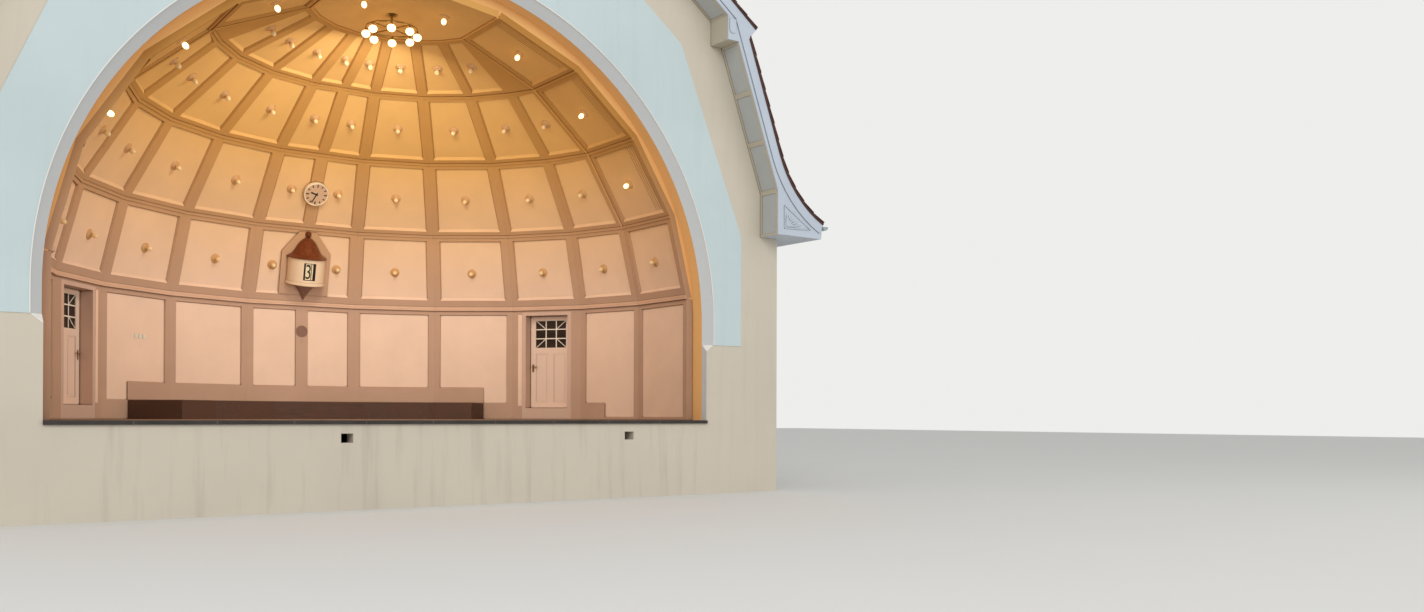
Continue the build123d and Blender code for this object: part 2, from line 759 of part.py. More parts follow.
def vault_bay(rib):
    """Solid between one rib and the next one toward the front."""
    solid = span_solid(rib_section(rib), rib_section(rib + 1))
    bevels = (COFFER_BEVEL, COFFER_SILL_BEVEL, COFFER_HEAD_BEVEL)
    for k in range(ZONE_COUNT):
        if not has_coffer(rib, k):
            continue
        corners, outward = bay_corners(rib, k)
        low = RAIL_ABOVE if k else CORNICE_DEPTH + CORNICE_COVE
        side = RIB_HALF_WIDTH * (1 - RIB_TAPER * k)
        solid -= coffer_cutter(corners, outward, (side, low, RAIL_BELOW), COFFER_DEPTH, bevels)
    return solid


def rib_roll(rib, k):
    """Raised roll along a rib, over one zone."""
    ends = []
    for level in (k, k + 1):
        here = ring_corner(rib, level)
        across, _ = ring_normal(level)
        rise = rib_outward(rib) * (RIB_ROLL_RISE / across)
        wings = []
        for beside in (rib - 1, rib + 1):
            toward = ring_corner(beside, level) - here
            length = toward.length
            wings.append(here + toward * (RIB_ROLL / 2 / length) if length > RIB_ROLL else here)
        ends.append([here, wings[0], wings[0] - rise, wings[1] - rise, wings[1]])
    return span_solid(ends[0], ends[1])


def vault():
    """Coffered vault in segments of two or four bays, with the rolls of its ribs and its crown."""
    back = vault_bay(0) + vault_bay(1)
    sides = vault_bay(2) + vault_bay(3)
    fronts = vault_bay(4) + vault_bay(5)
    crown_plate, crown_edge = crown()
    rolls = []
    for k in range(1, ZONE_COUNT):
        rolls.append(largest(rib_roll(ROLLED_RIB, k) - fronts - thickened(crown_edge)))
    rolls += [mirrored(roll) for roll in rolls]
    nodes = {
        "vault_back": back + mirrored(back),
        "vault_sides": pair(sides),
        "vault_fronts": pair(fronts),
        "vault_crown": crown_plate,
        "vault_rolls": Compound(children=rolls + [crown_edge]),
    }
    nodes["arch_closure"] = arch_closure(nodes)
    return nodes


def arch_closure(vault_nodes):
    """Plastered strip behind the arch, from its edge to the faceted vault."""
    foot = ring_height(0)
    middle = Vector(0, FRONT_WALL, STAGE_RISE + SPRING_HEIGHT)
    plane = Plane(origin=middle, z_dir=(0, 1, 0))
    strip = Solid.make_cylinder(OPENING_RADIUS + CLOSURE_LAP, CLOSURE_THICKNESS, plane)
    reach = 2 * OPENING_RADIUS
    strip &= block((-reach, reach), (FRONT_WALL, FRONT_WALL + CLOSURE_THICKNESS), (foot, foot + reach))
    outline = []
    for k in range(ZONE_COUNT + 1):
        corner = ring_corner(6, k)
        corner += (corner - middle).normalized() * CLOSURE_SCRIBE
        outline.append((corner.X, corner.Z))
    top = crown_height() + CLOSURE_SCRIBE
    half = [(0, foot - CLOSURE_SCRIBE), (outline[0][0], foot - CLOSURE_SCRIBE)] + outline + [(0, top)]
    room = section_solid(half, FRONT_WALL, FRONT_WALL + CLOSURE_THICKNESS)
    strip = strip - room - mirrored(room)
    for name in ("vault_fronts", "vault_crown"):
        strip = strip - vault_nodes[name]
    return largest(strip)


def crown_height():
    return STAGE_RISE + CORNICE_HEIGHT + DOME_RISE * (1 - math.sin(ring_angle(0)))


def thickened(edge):
    """The crown's roll with a seat of clearance below and inside it."""
    grown = edge
    for shift in ((0, 0, -SEAT), (SEAT, 0, 0), (-SEAT, 0, 0)):
        grown = grown + Pos(*shift) * edge
    return grown


def crown():
    """Flat crown of the vault inside its top ring, and the roll below its edge."""
    top = crown_height()
    pole = Vector(0, POLE_DEPTH, top)
    front = Vector(0, FRONT_WALL, top)
    rim = [ring_corner(rib, ZONE_COUNT) for rib in (6, 5, 3, 2, 1)]
    rim.append(Vector(0, rim[-1].Y, rim[-1].Z))
    lift = Vector(0, 0, VAULT_SHELL)
    faces = [[front, rim[0], rim[1], pole]]
    for a, b in zip(rim[1:], rim[2:]):
        faces.append([pole, a, b])
    upper = [[p + lift for p in face] for face in faces]
    outline = [front] + rim
    skirts = []
    for a, b in zip(outline, outline[1:]):
        skirts.append([a, b, b + lift, a + lift])
    middle = [[front, pole, pole + lift, front + lift],
              [pole, rim[-1], rim[-1] + lift, pole + lift]]
    half = polyhedron(faces + upper + skirts + middle)
    return half + mirrored(half), crown_roll(rim, front, pole)


def crown_roll(rim, front, pole):
    """Roll under the edge of the crown, in line with the rolls of the lower rings."""
    share = RING_ROLL / CROWN_RING_RADIUS
    drop = Vector(0, 0, -RING_ROLL_RISE)
    toward = [front] + [pole] * len(rim)
    inner = [corner + (goal - corner) * share for corner, goal in zip(rim, toward)]
    half = None
    for n in range(len(rim) - 1):
        top = [rim[n], rim[n + 1], inner[n + 1], inner[n]]
        piece = span_solid(top, [corner + drop for corner in top])
        half = piece if half is None else half + piece
    return half + mirrored(half)


# Lower wall of the shell

def wall_corner(rib, offset):
    """Plan corner of the lower wall at a rib, moved out by an offset."""
    here = ring_corner(rib, 0)
    if rib == 6:
        return Vector(here.X + offset, here.Y, 0)
    after = ring_corner(rib + 1, 0)
    before = ring_corner(rib - 1, 0) if rib else Vector(-after.X, after.Y, 0)
    in_dir = Vector(here.X - before.X, here.Y - before.Y, 0).normalized()
    out_dir = Vector(after.X - here.X, after.Y - here.Y, 0).normalized()
    in_normal = Vector(-in_dir.Y, in_dir.X, 0)
    out_normal = Vector(-out_dir.Y, out_dir.X, 0)
    middle = (in_normal + out_normal).normalized()
    return Vector(here.X, here.Y, 0) + middle * (offset / middle.dot(in_normal))


def wall_bay(rib, low, high, inner, outer):
    corners = [wall_corner(rib, inner), wall_corner(rib + 1, inner),
               wall_corner(rib + 1, outer), wall_corner(rib, outer)]
    return plan_solid([(p.X, p.Y) for p in corners], low, high)


def bay_frame(rib):
    """Bay's left corner, direction along the wall and direction out of it."""
    a, b = wall_corner(rib, 0), wall_corner(rib + 1, 0)
    along = (b - a).normalized()
    return a, along, Vector(-along.Y, along.X, 0), (b - a).length


def bay_block(rib, s_span, n_span, z_span):
    """Rectangular solid in a bay: along the wall, out of it and up."""
    origin, along, outward, _ = bay_frame(rib)
    points = []
    for s, n in ((s_span[0], n_span[0]), (s_span[1], n_span[0]),
                 (s_span[1], n_span[1]), (s_span[0], n_span[1])):
        p = origin + along * s + outward * n
        points.append((p.X, p.Y))
    return plan_solid(points, z_span[0], z_span[1])


DOOR_BAY = 3
PODIUM_END_BAY = 2
FLOOR = STAGE_RISE
BACK_FLOOR = STAGE_RISE + BACKSTAGE_STEP
WALL_TOP = STAGE_RISE + CORNICE_HEIGHT
PANEL_TOP = WALL_TOP - WALL_HEAD_BAND


def door_span():
    length = bay_frame(DOOR_BAY)[3]
    return (length - DOOR_WIDTH) / 2, (length + DOOR_WIDTH) / 2


def shell_wall_bay(rib):
    solid = wall_bay(rib, FLOOR, WALL_TOP, 0, SHELL_WALL)
    start, along, outward, length = bay_frame(rib)
    if rib == DOOR_BAY:
        left, right = door_span()
        frame_left, frame_right = left - DOOR_FRAME, right + DOOR_FRAME
        head = FLOOR + DOOR_SILL + DOOR_HEIGHT + DOOR_HEAD
        return solid - bay_block(rib, (frame_left, frame_right), (-1, SHELL_WALL + 1),
                                 (FLOOR - 1, head))
    side = WALL_RIB_HALF_WIDTH
    floor = FLOOR + (BASE_HEIGHT if rib > DOOR_BAY else PODIUM_HEIGHT + SKIRTING_HEIGHT)
    corners = [start + Vector(0, 0, floor), start + along * length + Vector(0, 0, floor),
               start + along * length + Vector(0, 0, PANEL_TOP), start + Vector(0, 0, PANEL_TOP)]
    solid -= coffer_cutter(corners, outward, (side, 0, 0), PANEL_DEPTH, [PANEL_BEVEL] * 3)
    if rib == PODIUM_END_BAY:
        solid -= bay_block(rib, (length * PODIUM_END_SHARE, length - side), (-1, PANEL_DEPTH),
                           (FLOOR + PODIUM_HEIGHT, floor + 2 * PANEL_BEVEL))
    if rib == DOOR_BAY + 1:
        solid += bay_block(rib, (side, side + PLINTH_LENGTH), (0, PANEL_DEPTH + 1),
                           (FLOOR, FLOOR + PODIUM_HEIGHT))
    return solid


def shell_walls():
    back = shell_wall_bay(0) + shell_wall_bay(1) + shell_wall_bay(2)
    door_bay = shell_wall_bay(DOOR_BAY)
    front = shell_wall_bay(4) + shell_wall_bay(5)
    return {
        "shell_wall_back": back + mirrored(back),
        "shell_wall_doors": pair(door_bay),
        "shell_wall_fronts": pair(front),
    }


def cornice():
    """Main cornice: a projecting moulding on the foot of the vault."""
    lean = CORNICE_DEPTH / math.tan(facet_angle(0))
    profile = [(SEAT, 0), (CORNICE_PROJECTION, 0), (CORNICE_PROJECTION, CORNICE_DEPTH * 0.4),
               (CORNICE_PROJECTION * 0.8, CORNICE_DEPTH * 0.4),
               (CORNICE_PROJECTION * 0.8, CORNICE_DEPTH), (lean + SEAT, CORNICE_DEPTH)]
    pieces = None
    for rib in range(6):
        ends = []
        for corner in (rib, rib + 1):
            points = [wall_corner(corner, -inward) + Vector(0, 0, WALL_TOP + up)
                      for inward, up in profile]
            ends.append(points)
        piece = span_solid(ends[0], ends[1])
        pieces = piece if pieces is None else pieces + piece
    return {"main_cornice": pieces + mirrored(pieces)}


def stage():
    wall = block((-OPENING_RADIUS, OPENING_RADIUS), (0, STAGE_FRONT_WALL),
                 (0, STAGE_RISE - COPING_HEIGHT))
    for place in VENT_PLACES:
        top = STAGE_RISE - COPING_HEIGHT - VENT_DROP
        wall -= block((place - VENT_WIDTH / 2, place + VENT_WIDTH / 2),
                      (-1, STAGE_FRONT_WALL + 1), (top - VENT_HEIGHT, top))
    coping = block((-OPENING_RADIUS, OPENING_RADIUS), (-COPING_NOSE, STAGE_FRONT_WALL),
                   (STAGE_RISE - COPING_HEIGHT, STAGE_RISE))
    inner_face = HALL_HALF_WIDTH - SIDE_WALL
    slab = block((-inner_face, inner_face), (FRONT_WALL, HALL_DEPTH - REAR_WALL),
                 (STAGE_RISE - STAGE_SLAB, STAGE_RISE))
    slab += block((-OPENING_RADIUS, OPENING_RADIUS), (STAGE_FRONT_WALL, FRONT_WALL),
                  (STAGE_RISE - STAGE_SLAB, STAGE_RISE))
    outer_plan = [(p.X, p.Y) for p in (wall_corner(rib, SHELL_WALL) for rib in range(7))]
    hole = outer_plan + [(-x, y) for x, y in reversed(outer_plan)]
    backstage = block((-inner_face, inner_face), (FRONT_WALL, HALL_DEPTH - REAR_WALL),
                      (BACK_FLOOR - BACKSTAGE_FLOOR, BACK_FLOOR))
    backstage -= plan_solid(hole, FLOOR, BACK_FLOOR + 10)
    return {
        "stage_front_wall": wall,
        "stage_coping": coping,
        "stage_floor": slab,
        "backstage_floor": backstage,
    }


def podium():
    """Wooden podium along the back of the shell."""
    inner, outer = [], []
    for rib in range(3):
        outer.append(wall_corner(rib, -1))
        inner.append(wall_corner(rib, -PODIUM_DEPTH))
    origin, along, outward, length = bay_frame(PODIUM_END_BAY)
    end = origin + along * (length * PODIUM_END_SHARE) - outward
    outer.append(end)
    inner.append(end - outward * (PODIUM_DEPTH - 1))
    half = [(p.X, p.Y) for p in outer + list(reversed(inner))]
    solid = plan_solid(half, FLOOR, FLOOR + PODIUM_HEIGHT)
    under = [wall_corner(rib, -PODIUM_DEPTH + PODIUM_BOARD) for rib in range(3)]
    stop = end - along * PODIUM_BOARD
    rim = [wall_corner(rib, 0) for rib in range(3)] + [stop + outward * 2]
    under.append(stop - outward * (PODIUM_DEPTH - PODIUM_BOARD - 1))
    room = [(p.X, p.Y) for p in rim + list(reversed(under))]
    solid -= plan_solid(room, FLOOR - 1, FLOOR + PODIUM_HEIGHT - PODIUM_BOARD)
    return {"podium": solid + mirrored(solid)}


# Doors

def door_heights():
    sill = FLOOR + DOOR_SILL
    return sill, sill + DOOR_HEIGHT


def door_frame():
    left, right = door_span()
    sill, head = door_heights()
    frame = bay_block(DOOR_BAY, (left - DOOR_FRAME, right + DOOR_FRAME), (0, SHELL_WALL),
                      (FLOOR, head + DOOR_HEAD))
    return frame - bay_block(DOOR_BAY, (left, right), (-1, SHELL_WALL + 1), (sill, head))


def leaf_spans():
    """Extents of the leaf along the wall, out of it and up."""
    left, right = door_span()
    sill, head = door_heights()
    return ((left + LEAF_GAP, right - LEAF_GAP), (DOOR_REVEAL, DOOR_REVEAL + LEAF_THICKNESS),
            (sill + LEAF_GAP, head - LEAF_GAP))


def glass_spans():
    along, out, up = leaf_spans()
    middle = (out[0] + out[1]) / 2
    top = up[1] - LEAF_TOP_RAIL
    return ((along[0] + LEAF_STILE, along[1] - LEAF_STILE),
            (middle - GLASS_THICKNESS / 2, middle + GLASS_THICKNESS / 2), (top - GLASS_HEIGHT, top))


def door_leaf():
    along, out, up = leaf_spans()
    leaf = bay_block(DOOR_BAY, along, out, up)
    hole_along, _, hole_up = glass_spans()
    leaf -= bay_block(DOOR_BAY, hole_along, (out[0] - 1, out[1] + 1), hole_up)
    panel_up = (up[0] + LEAF_RAIL, hole_up[0] - LEAF_RAIL)
    middle = (hole_along[0] + hole_along[1]) / 2
    for panel_along in ((hole_along[0], middle - LEAF_RAIL / 2), (middle + LEAF_RAIL / 2, hole_along[1])):
        leaf -= bay_block(DOOR_BAY, panel_along, (out[0] - 1, out[0] + LEAF_PANEL_DEPTH), panel_up)
        leaf -= bay_block(DOOR_BAY, panel_along, (out[1] - LEAF_PANEL_DEPTH, out[1] + 1), panel_up)
    return leaf


def hinge_point():
    """Plan point of the hinge pins: behind the joint between leaf and frame."""
    origin, along, outward, _ = bay_frame(DOOR_BAY)
    _, right = door_span()
    depth = DOOR_REVEAL + LEAF_THICKNESS + HINGE_RADIUS + HINGE_CLEARANCE
    return origin + along * (right - LEAF_GAP / 2) + outward * depth


def hinge_heights():
    _, _, up = leaf_spans()
    return up[0] + HINGE_INSET, up[1] - HINGE_INSET


def hinge_pins():
    """Frame half of each lift-off hinge: plate, lower knuckle and pin."""
    centre = hinge_point()
    _, right = door_span()
    back = DOOR_REVEAL + LEAF_THICKNESS
    solids = []
    for height in hinge_heights():
        low = Plane(origin=(centre.X, centre.Y, height - HINGE_HEIGHT / 2))
        knuckle = Solid.make_cylinder(HINGE_RADIUS, HINGE_HEIGHT / 2 - SEAT, low)
        pin = Solid.make_cylinder(HINGE_PIN_RADIUS, HINGE_HEIGHT - 2, low)
        plate = bay_block(DOOR_BAY, (right + 1, right + HINGE_LEAF),
                          (back, back + HINGE_PLATE), (low.origin.Z, height - SEAT))
        web = bay_block(DOOR_BAY, (right - LEAF_GAP / 2, right + 2),
                        (back + HINGE_CLEARANCE, back + HINGE_CLEARANCE + HINGE_PLATE),
                        (low.origin.Z, height - SEAT))
        solids.append((knuckle + pin + plate + web).solid())
    return solids


def hinge_knuckles():
    """Leaf half of each hinge: plate and upper knuckle, bored for the pin."""
    centre = hinge_point()
    _, right = door_span()
    back = DOOR_REVEAL + LEAF_THICKNESS
    solids = []
    for height in hinge_heights():
        mid = Plane(origin=(centre.X, centre.Y, height + SEAT))
        knuckle = Solid.make_cylinder(HINGE_RADIUS, HINGE_HEIGHT / 2 - SEAT, mid)
        top = height + HINGE_HEIGHT / 2
        plate = bay_block(DOOR_BAY, (right - LEAF_GAP - HINGE_LEAF, right - LEAF_GAP - 1),
                          (back, back + HINGE_PLATE), (height + SEAT, top))
        web = bay_block(DOOR_BAY, (right - LEAF_GAP - 2, right - LEAF_GAP / 2),
                        (back + HINGE_CLEARANCE, back + HINGE_CLEARANCE + HINGE_PLATE),
                        (height + SEAT, top))
        low = Plane(origin=(centre.X, centre.Y, height - 1))
        bore = Solid.make_cylinder(HINGE_PIN_RADIUS + HINGE_BORE_CLEARANCE, HINGE_HEIGHT, low)
        solids.append((knuckle + plate + web - bore).solid())
    return solids


def door_handle():
    """Lever handles on both faces of the leaf with their plates and spindle."""
    along, out, up = leaf_spans()
    centre = along[0] + HANDLE_INSET
    height = up[0] + HANDLE_HEIGHT
    half, tip = LEVER_HALF_WIDTH, LEVER_STAND_OFF
    sides = []
    for face, away in ((out[0], -1), (out[1], 1)):
        plate = bay_block(DOOR_BAY, (centre - HANDLE_PLATE_HALF_WIDTH, centre + HANDLE_PLATE_HALF_WIDTH),
                          (face, face + away * HANDLE_PLATE_THICKNESS),
                          (height - HANDLE_PLATE_BELOW, height + HANDLE_PLATE_ABOVE))
        neck = bay_block(DOOR_BAY, (centre - half, centre + half), (face, face + away * tip),
                         (height - half, height + half))
        lever = bay_block(DOOR_BAY, (centre - half, centre + LEVER_LENGTH),
                          (face + away * (tip - LEVER_THICKNESS), face + away * tip),
                          (height - half, height + half))
        sides.append((plate + neck + lever).solid())
    return sides


def doors():
    leaf = door_leaf()
    along, out, up = glass_spans()
    glass = bay_block(DOOR_BAY, along, out, up)
    fittings = Compound(children=hinge_knuckles() + door_handle())
    pins = hinge_pins()
    return {
        "door_frames": pair(door_frame()),
        "door_leaf_right": leaf,
        "door_leaf_left": mirrored(leaf),
        "door_glass_right": glass,
        "door_glass_left": mirrored(glass),
        "door_fittings_right": fittings,
        "door_fittings_left": mirrored(fittings),
        "hinge_pins": Compound(children=pins + [mirrored(pin) for pin in pins]),
    }


# Fittings on the shell

def facet_frame(rib, k, share_along, share_up):
    """Point on a coffer's floor, with the directions along, up and toward the stage."""
    corners, outward = bay_corners(rib, k)
    low = corners[0] + (corners[1] - corners[0]) * share_along
    high = corners[3] + (corners[2] - corners[3]) * share_along
    point = low + (high - low) * share_up
    depth = COFFER_DEPTH - (point - corners[0]).dot(outward)
    along = (corners[1] - corners[0]).normalized()
    return point + outward * depth, along, -outward


def stacked(centre, side, toward, profile, count):
    """Closed many-sided body from (height, radius) steps along a direction."""
    other = toward.cross(side).normalized()
    rings = []
    for height, radius in profile:
        ring = []
        for n in range(count):
            angle = 2 * math.pi * n / count
            spoke = side * math.cos(angle) + other * math.sin(angle)
            ring.append(centre + toward * height + spoke * radius)
        rings.append(ring)
    faces = [rings[0], rings[-1]]
    for lower, upper in zip(rings, rings[1:]):
        for n in range(count):
            m = (n + 1) % count
            faces.append([lower[n], lower[m], upper[m], upper[n]])
    return polyhedron(faces)


def vault_lamps():
    """One bare globe on a round rose in each coffer, and two on the crown."""
    lamps = []
    for rib in range(6):
        for k in range(ZONE_COUNT):
            if has_coffer(rib, k) and rib_gap(rib, k) > LAMP_MIN_WIDTH:
                share = BOX_LAMP_SHARE if rib == 0 and k == 0 else 0.5
                point, along, toward = facet_frame(rib, k, share, 0.5)
                lamps.append(stacked(point, along, toward, LAMP_PROFILE, LAMP_SIDES))
    fall = (crown_height() - ring_height(ZONE_COUNT)) / arch_half_width(ZONE_COUNT)
    toward = Vector(-fall, 0, -1).normalized()
    beside_pole = Vector(CROWN_SIDE_LAMP, POLE_DEPTH, crown_height() - fall * CROWN_SIDE_LAMP)
    lamps.append(stacked(beside_pole + toward * SEAT, Vector(0, 1, 0), toward, LAMP_PROFILE, LAMP_SIDES))
    return {"vault_lamps": Compound(children=lamps + [mirrored(lamp) for lamp in lamps])}


def rib_gap(rib, k):
    """Width of a coffer's floor at half its height."""
    corners, _ = bay_corners(rib, k)
    middle = ((corners[1] - corners[0]).length + (corners[2] - corners[3]).length) / 2
    return middle - 2 * (RIB_HALF_WIDTH * (1 - RIB_TAPER * k) + COFFER_BEVEL)


def rib_plane(k, share):
    """Plane on the middle rib: X to the right, Y up the rib, Z toward the stage."""
    low, high = ring_corner(0, k), ring_corner(0, k + 1)
    return Plane(origin=low + (high - low) * share, x_dir=(1, 0, 0),
                 z_dir=(high - low).cross(Vector(-1, 0, 0)).normalized())


def clock():
    plane = rib_plane(1, 0.49)
    case = Cylinder(CLOCK_RADIUS, CLOCK_DEPTH, align=(Align.CENTER, Align.CENTER, Align.MIN))
    sunk = Pos(0, 0, CLOCK_DEPTH - CLOCK_RIM_DEPTH) * Cylinder(
        CLOCK_RADIUS - CLOCK_RIM, CLOCK_DEPTH, align=(Align.CENTER, Align.CENTER, Align.MIN))
    return {"clock": plane * (case - sunk)}


def programme_box():
    """Board, half-round drum with a window, bell-shaped roof with a ball, and pendant."""
    slant = (ring_corner(0, 1) - ring_corner(0, 0)).length
    plane = rib_plane(0, 0)
    foot, shoulder, top = BOARD_FOOT * slant, BOARD_SHOULDER * slant, BOARD_TOP * slant
    outline = [(-BOARD_HALF_WIDTH, foot), (BOARD_HALF_WIDTH, foot), (BOARD_HALF_WIDTH, shoulder),
               (BOARD_TOP_HALF_WIDTH, top), (-BOARD_TOP_HALF_WIDTH, top), (-BOARD_HALF_WIDTH, shoulder)]
    board = extrude(make_face(Polyline(*outline, close=True)), amount=BOARD_THICKNESS)
    room = Pos(0, slant / 2, BOARD_THICKNESS + SEAT + slant) * Box(2 * slant, 2 * slant, 2 * slant)
    low, high = DRUM_FOOT * slant, DRUM_TOP * slant
    drum = turned([(0, low), (DRUM_RADIUS, low), (DRUM_RADIUS, high), (0, high)])
    left = DRUM_WINDOW_OFF_CENTRE - DRUM_WINDOW_HALF_WIDTH
    right = DRUM_WINDOW_OFF_CENTRE + DRUM_WINDOW_HALF_WIDTH
    drum -= Pos((left + right) / 2, (low + high) / 2, DRUM_RADIUS + BOARD_THICKNESS) * Box(
        right - left, high - low - 2 * DRUM_WINDOW_MARGIN, 2 * DRUM_WINDOW_DEPTH)
    lip = DRUM_RADIUS + DRUM_SHELF_LIP
    pendant = [(0, low - PENDANT_LENGTH), (PENDANT_TIP, low - 0.6 * PENDANT_LENGTH),
               (PENDANT_WAIST, low - 0.3 * PENDANT_LENGTH), (lip - PENDANT_WAIST, low - DRUM_SHELF),
               (lip, low - DRUM_SHELF), (lip, low), (0, low)]
    body = drum + turned(pendant)
    behind = Pos(0, slant / 2, BOARD_THICKNESS - 1 + slant) * Box(2 * slant, 2 * slant, 2 * slant)
    eave = DRUM_RADIUS + BELL_LIP
    rise = BELL_TOP * slant - high
    bell = [(0, high), (eave, high), (eave, high + 18), (0.84 * eave, high + 0.1 * rise),
            (0.66 * eave, high + 0.3 * rise), (0.5 * eave, high + 0.62 * rise),
            (0.28 * eave, high + 0.82 * rise), (0.06 * eave, high + rise), (0, high + rise)]
    ball_centre = high + rise + FINIAL_RADIUS - BALL_SINK
    ball = [(0, ball_centre - FINIAL_RADIUS)]
    for angle in range(-60, 61, 30):
        offset = polar(angle, FINIAL_RADIUS)
        ball.append((offset.X, ball_centre + offset.Y))
    ball.append((0, ball_centre + FINIAL_RADIUS))
    roof_body = turned(bell) + turned(ball)
    axis_shift = Pos(0, 0, BOARD_THICKNESS)
    shell = board + ((axis_shift * body) & behind)
    return {
        "programme_box": plane * shell,
        "programme_box_roof": plane * ((axis_shift * roof_body) & room),
    }


def turned(points):
    """Body turned about the upright axis from (radius, height) points."""
    face = make_face(Polyline(*points, close=True))
    return revolve(face, Axis.Y, 360)


def wall_grille():
    """Round grille on the middle rib of the lower wall."""
    face_y = wall_corner(0, 0).Y
    plane = Plane(origin=(0, face_y, FLOOR + GRILLE_HEIGHT), z_dir=(0, -1, 0))
    return {"wall_grille": Solid.make_cylinder(GRILLE_RADIUS, GRILLE_THICKNESS, plane)}


def crown_lamps():
    """Ring with hanging globes below the middle of the crown, on one stem."""
    down = Vector(0, 0, -1)
    centre = Vector(0, POLE_DEPTH + CROWN_LAMP_SET_BACK, crown_height())
    hub = centre + down * CROWN_LAMP_DROP
    rose, rose_depth = CROWN_STEM_ROSE
    ring = stacked_ring(hub, CROWN_LAMP_RADIUS, CROWN_LAMP_TUBE)
    body = ring + stacked(centre, Vector(1, 0, 0), down,
                          ((0, rose), (rose_depth, rose), (rose_depth, CROWN_STEM_RADIUS),
                           (CROWN_LAMP_DROP + CROWN_LAMP_TUBE, CROWN_STEM_RADIUS)), 12)
    for n in range(CROWN_LAMP_COUNT):
        angle = 2 * math.pi * (n + 0.5) / CROWN_LAMP_COUNT
        spoke = Vector(math.cos(angle), math.sin(angle), 0)
        side = Vector(-spoke.Y, spoke.X, 0)
        if n % 2 == 0:
            body += stacked(hub, side, spoke,
                            ((0, CROWN_SPOKE_HALF), (CROWN_LAMP_RADIUS, CROWN_SPOKE_HALF)), 6)
        body += stacked(hub + spoke * CROWN_LAMP_RADIUS, side, down, CROWN_GLOBE_PROFILE, 10)
    return {"crown_lamps": largest(body - crown()[0])}


def stacked_ring(centre, radius, half):
    """Level ring of square section."""
    outer = Solid.make_cylinder(radius + half, 2 * half, Plane(origin=centre - Vector(0, 0, half)))
    inner = Solid.make_cylinder(radius - half, 2 * half, Plane(origin=centre - Vector(0, 0, half)))
    return outer - inner


def write(nodes):
    os.makedirs("parts", exist_ok=True)
    for name, shape in nodes.items():
        solids = shape.solids()
        piece = solids[0] if len(solids) == 1 else Compound(children=list(solids))
        piece.label = name
        export_step(piece, "parts/" + name + ".step")


def centred(nodes):
    """Puts the origin below the middle of the building's box."""
    return {name: Pos(0, -HALL_DEPTH / 2, 0) * shape for name, shape in nodes.items()}


def main():
    nodes = {}
    for group in (front_wall, arch_band, chamfer_stops, outer_walls, roof, bargeboards, soffits,
                  gutters, vault, shell_walls, cornice, stage, podium, doors,
                  vault_lamps, crown_lamps, clock, programme_box, wall_grille):
        nodes.update(group())
    write(centred(nodes))


main()
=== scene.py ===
"""Band shell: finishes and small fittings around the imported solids."""

import math
import random

import bmesh
import bpy
from mathutils import Matrix, Vector


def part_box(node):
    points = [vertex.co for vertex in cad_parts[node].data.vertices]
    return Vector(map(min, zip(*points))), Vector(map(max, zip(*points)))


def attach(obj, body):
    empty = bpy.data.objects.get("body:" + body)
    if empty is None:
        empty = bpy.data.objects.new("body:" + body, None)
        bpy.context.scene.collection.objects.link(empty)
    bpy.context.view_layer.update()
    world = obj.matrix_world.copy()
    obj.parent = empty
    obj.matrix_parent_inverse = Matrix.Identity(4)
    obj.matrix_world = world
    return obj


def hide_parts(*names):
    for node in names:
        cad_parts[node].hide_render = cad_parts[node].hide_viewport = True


bl_info = {
    "name": "Band shell finishes",
    "version": (1, 0, 0),
    "blender": (4, 5, 0),
    "location": "3D View > Sidebar > Band shell",
    "description": "Paints, tiles, lamps and fittings of a concert band shell",
    "category": "Object",
}

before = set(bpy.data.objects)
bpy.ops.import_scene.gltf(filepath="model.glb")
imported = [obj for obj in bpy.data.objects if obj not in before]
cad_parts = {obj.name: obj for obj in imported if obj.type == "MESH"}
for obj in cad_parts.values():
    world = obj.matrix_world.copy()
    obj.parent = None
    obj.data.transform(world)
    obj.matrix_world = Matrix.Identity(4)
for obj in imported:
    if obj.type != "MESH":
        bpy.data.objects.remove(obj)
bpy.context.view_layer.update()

MM = 0.001  # all lengths are in metres
BUILDING = "building"
VAULT_NODES = ("vault_back", "vault_sides", "vault_fronts")
WALL_NODES = ("shell_wall_back", "shell_wall_doors", "shell_wall_fronts")
STAGE_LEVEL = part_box("stage_floor")[1].z
UPPER_COFFERS = STAGE_LEVEL + 3.6  # above it, the front bay has fine lines and its lamps burn
FRONT_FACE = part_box("front_piers")[0].y
RIGHT, INWARD, UP = Vector((1, 0, 0)), Vector((0, 1, 0)), Vector((0, 0, 1))
OUTWARD = Vector((0, -1, 0))
QUARTER, HALF_TURN, WHOLE_TURN = math.pi / 2, math.pi, 2 * math.pi

MERGE_DISTANCE = 0.02 * MM
FLAT_ANGLE = math.radians(0.4)
SHARP_ANGLE = math.radians(32)


# Reading the solids

def placing(origin, across, out):
    """Matrix that puts local X along across and local Z along out, at the origin given."""
    across, out = across.normalized(), out.normalized()
    turn = Matrix((across, out.cross(across), out)).transposed()
    return Matrix.Translation(origin) @ turn.to_4x4()


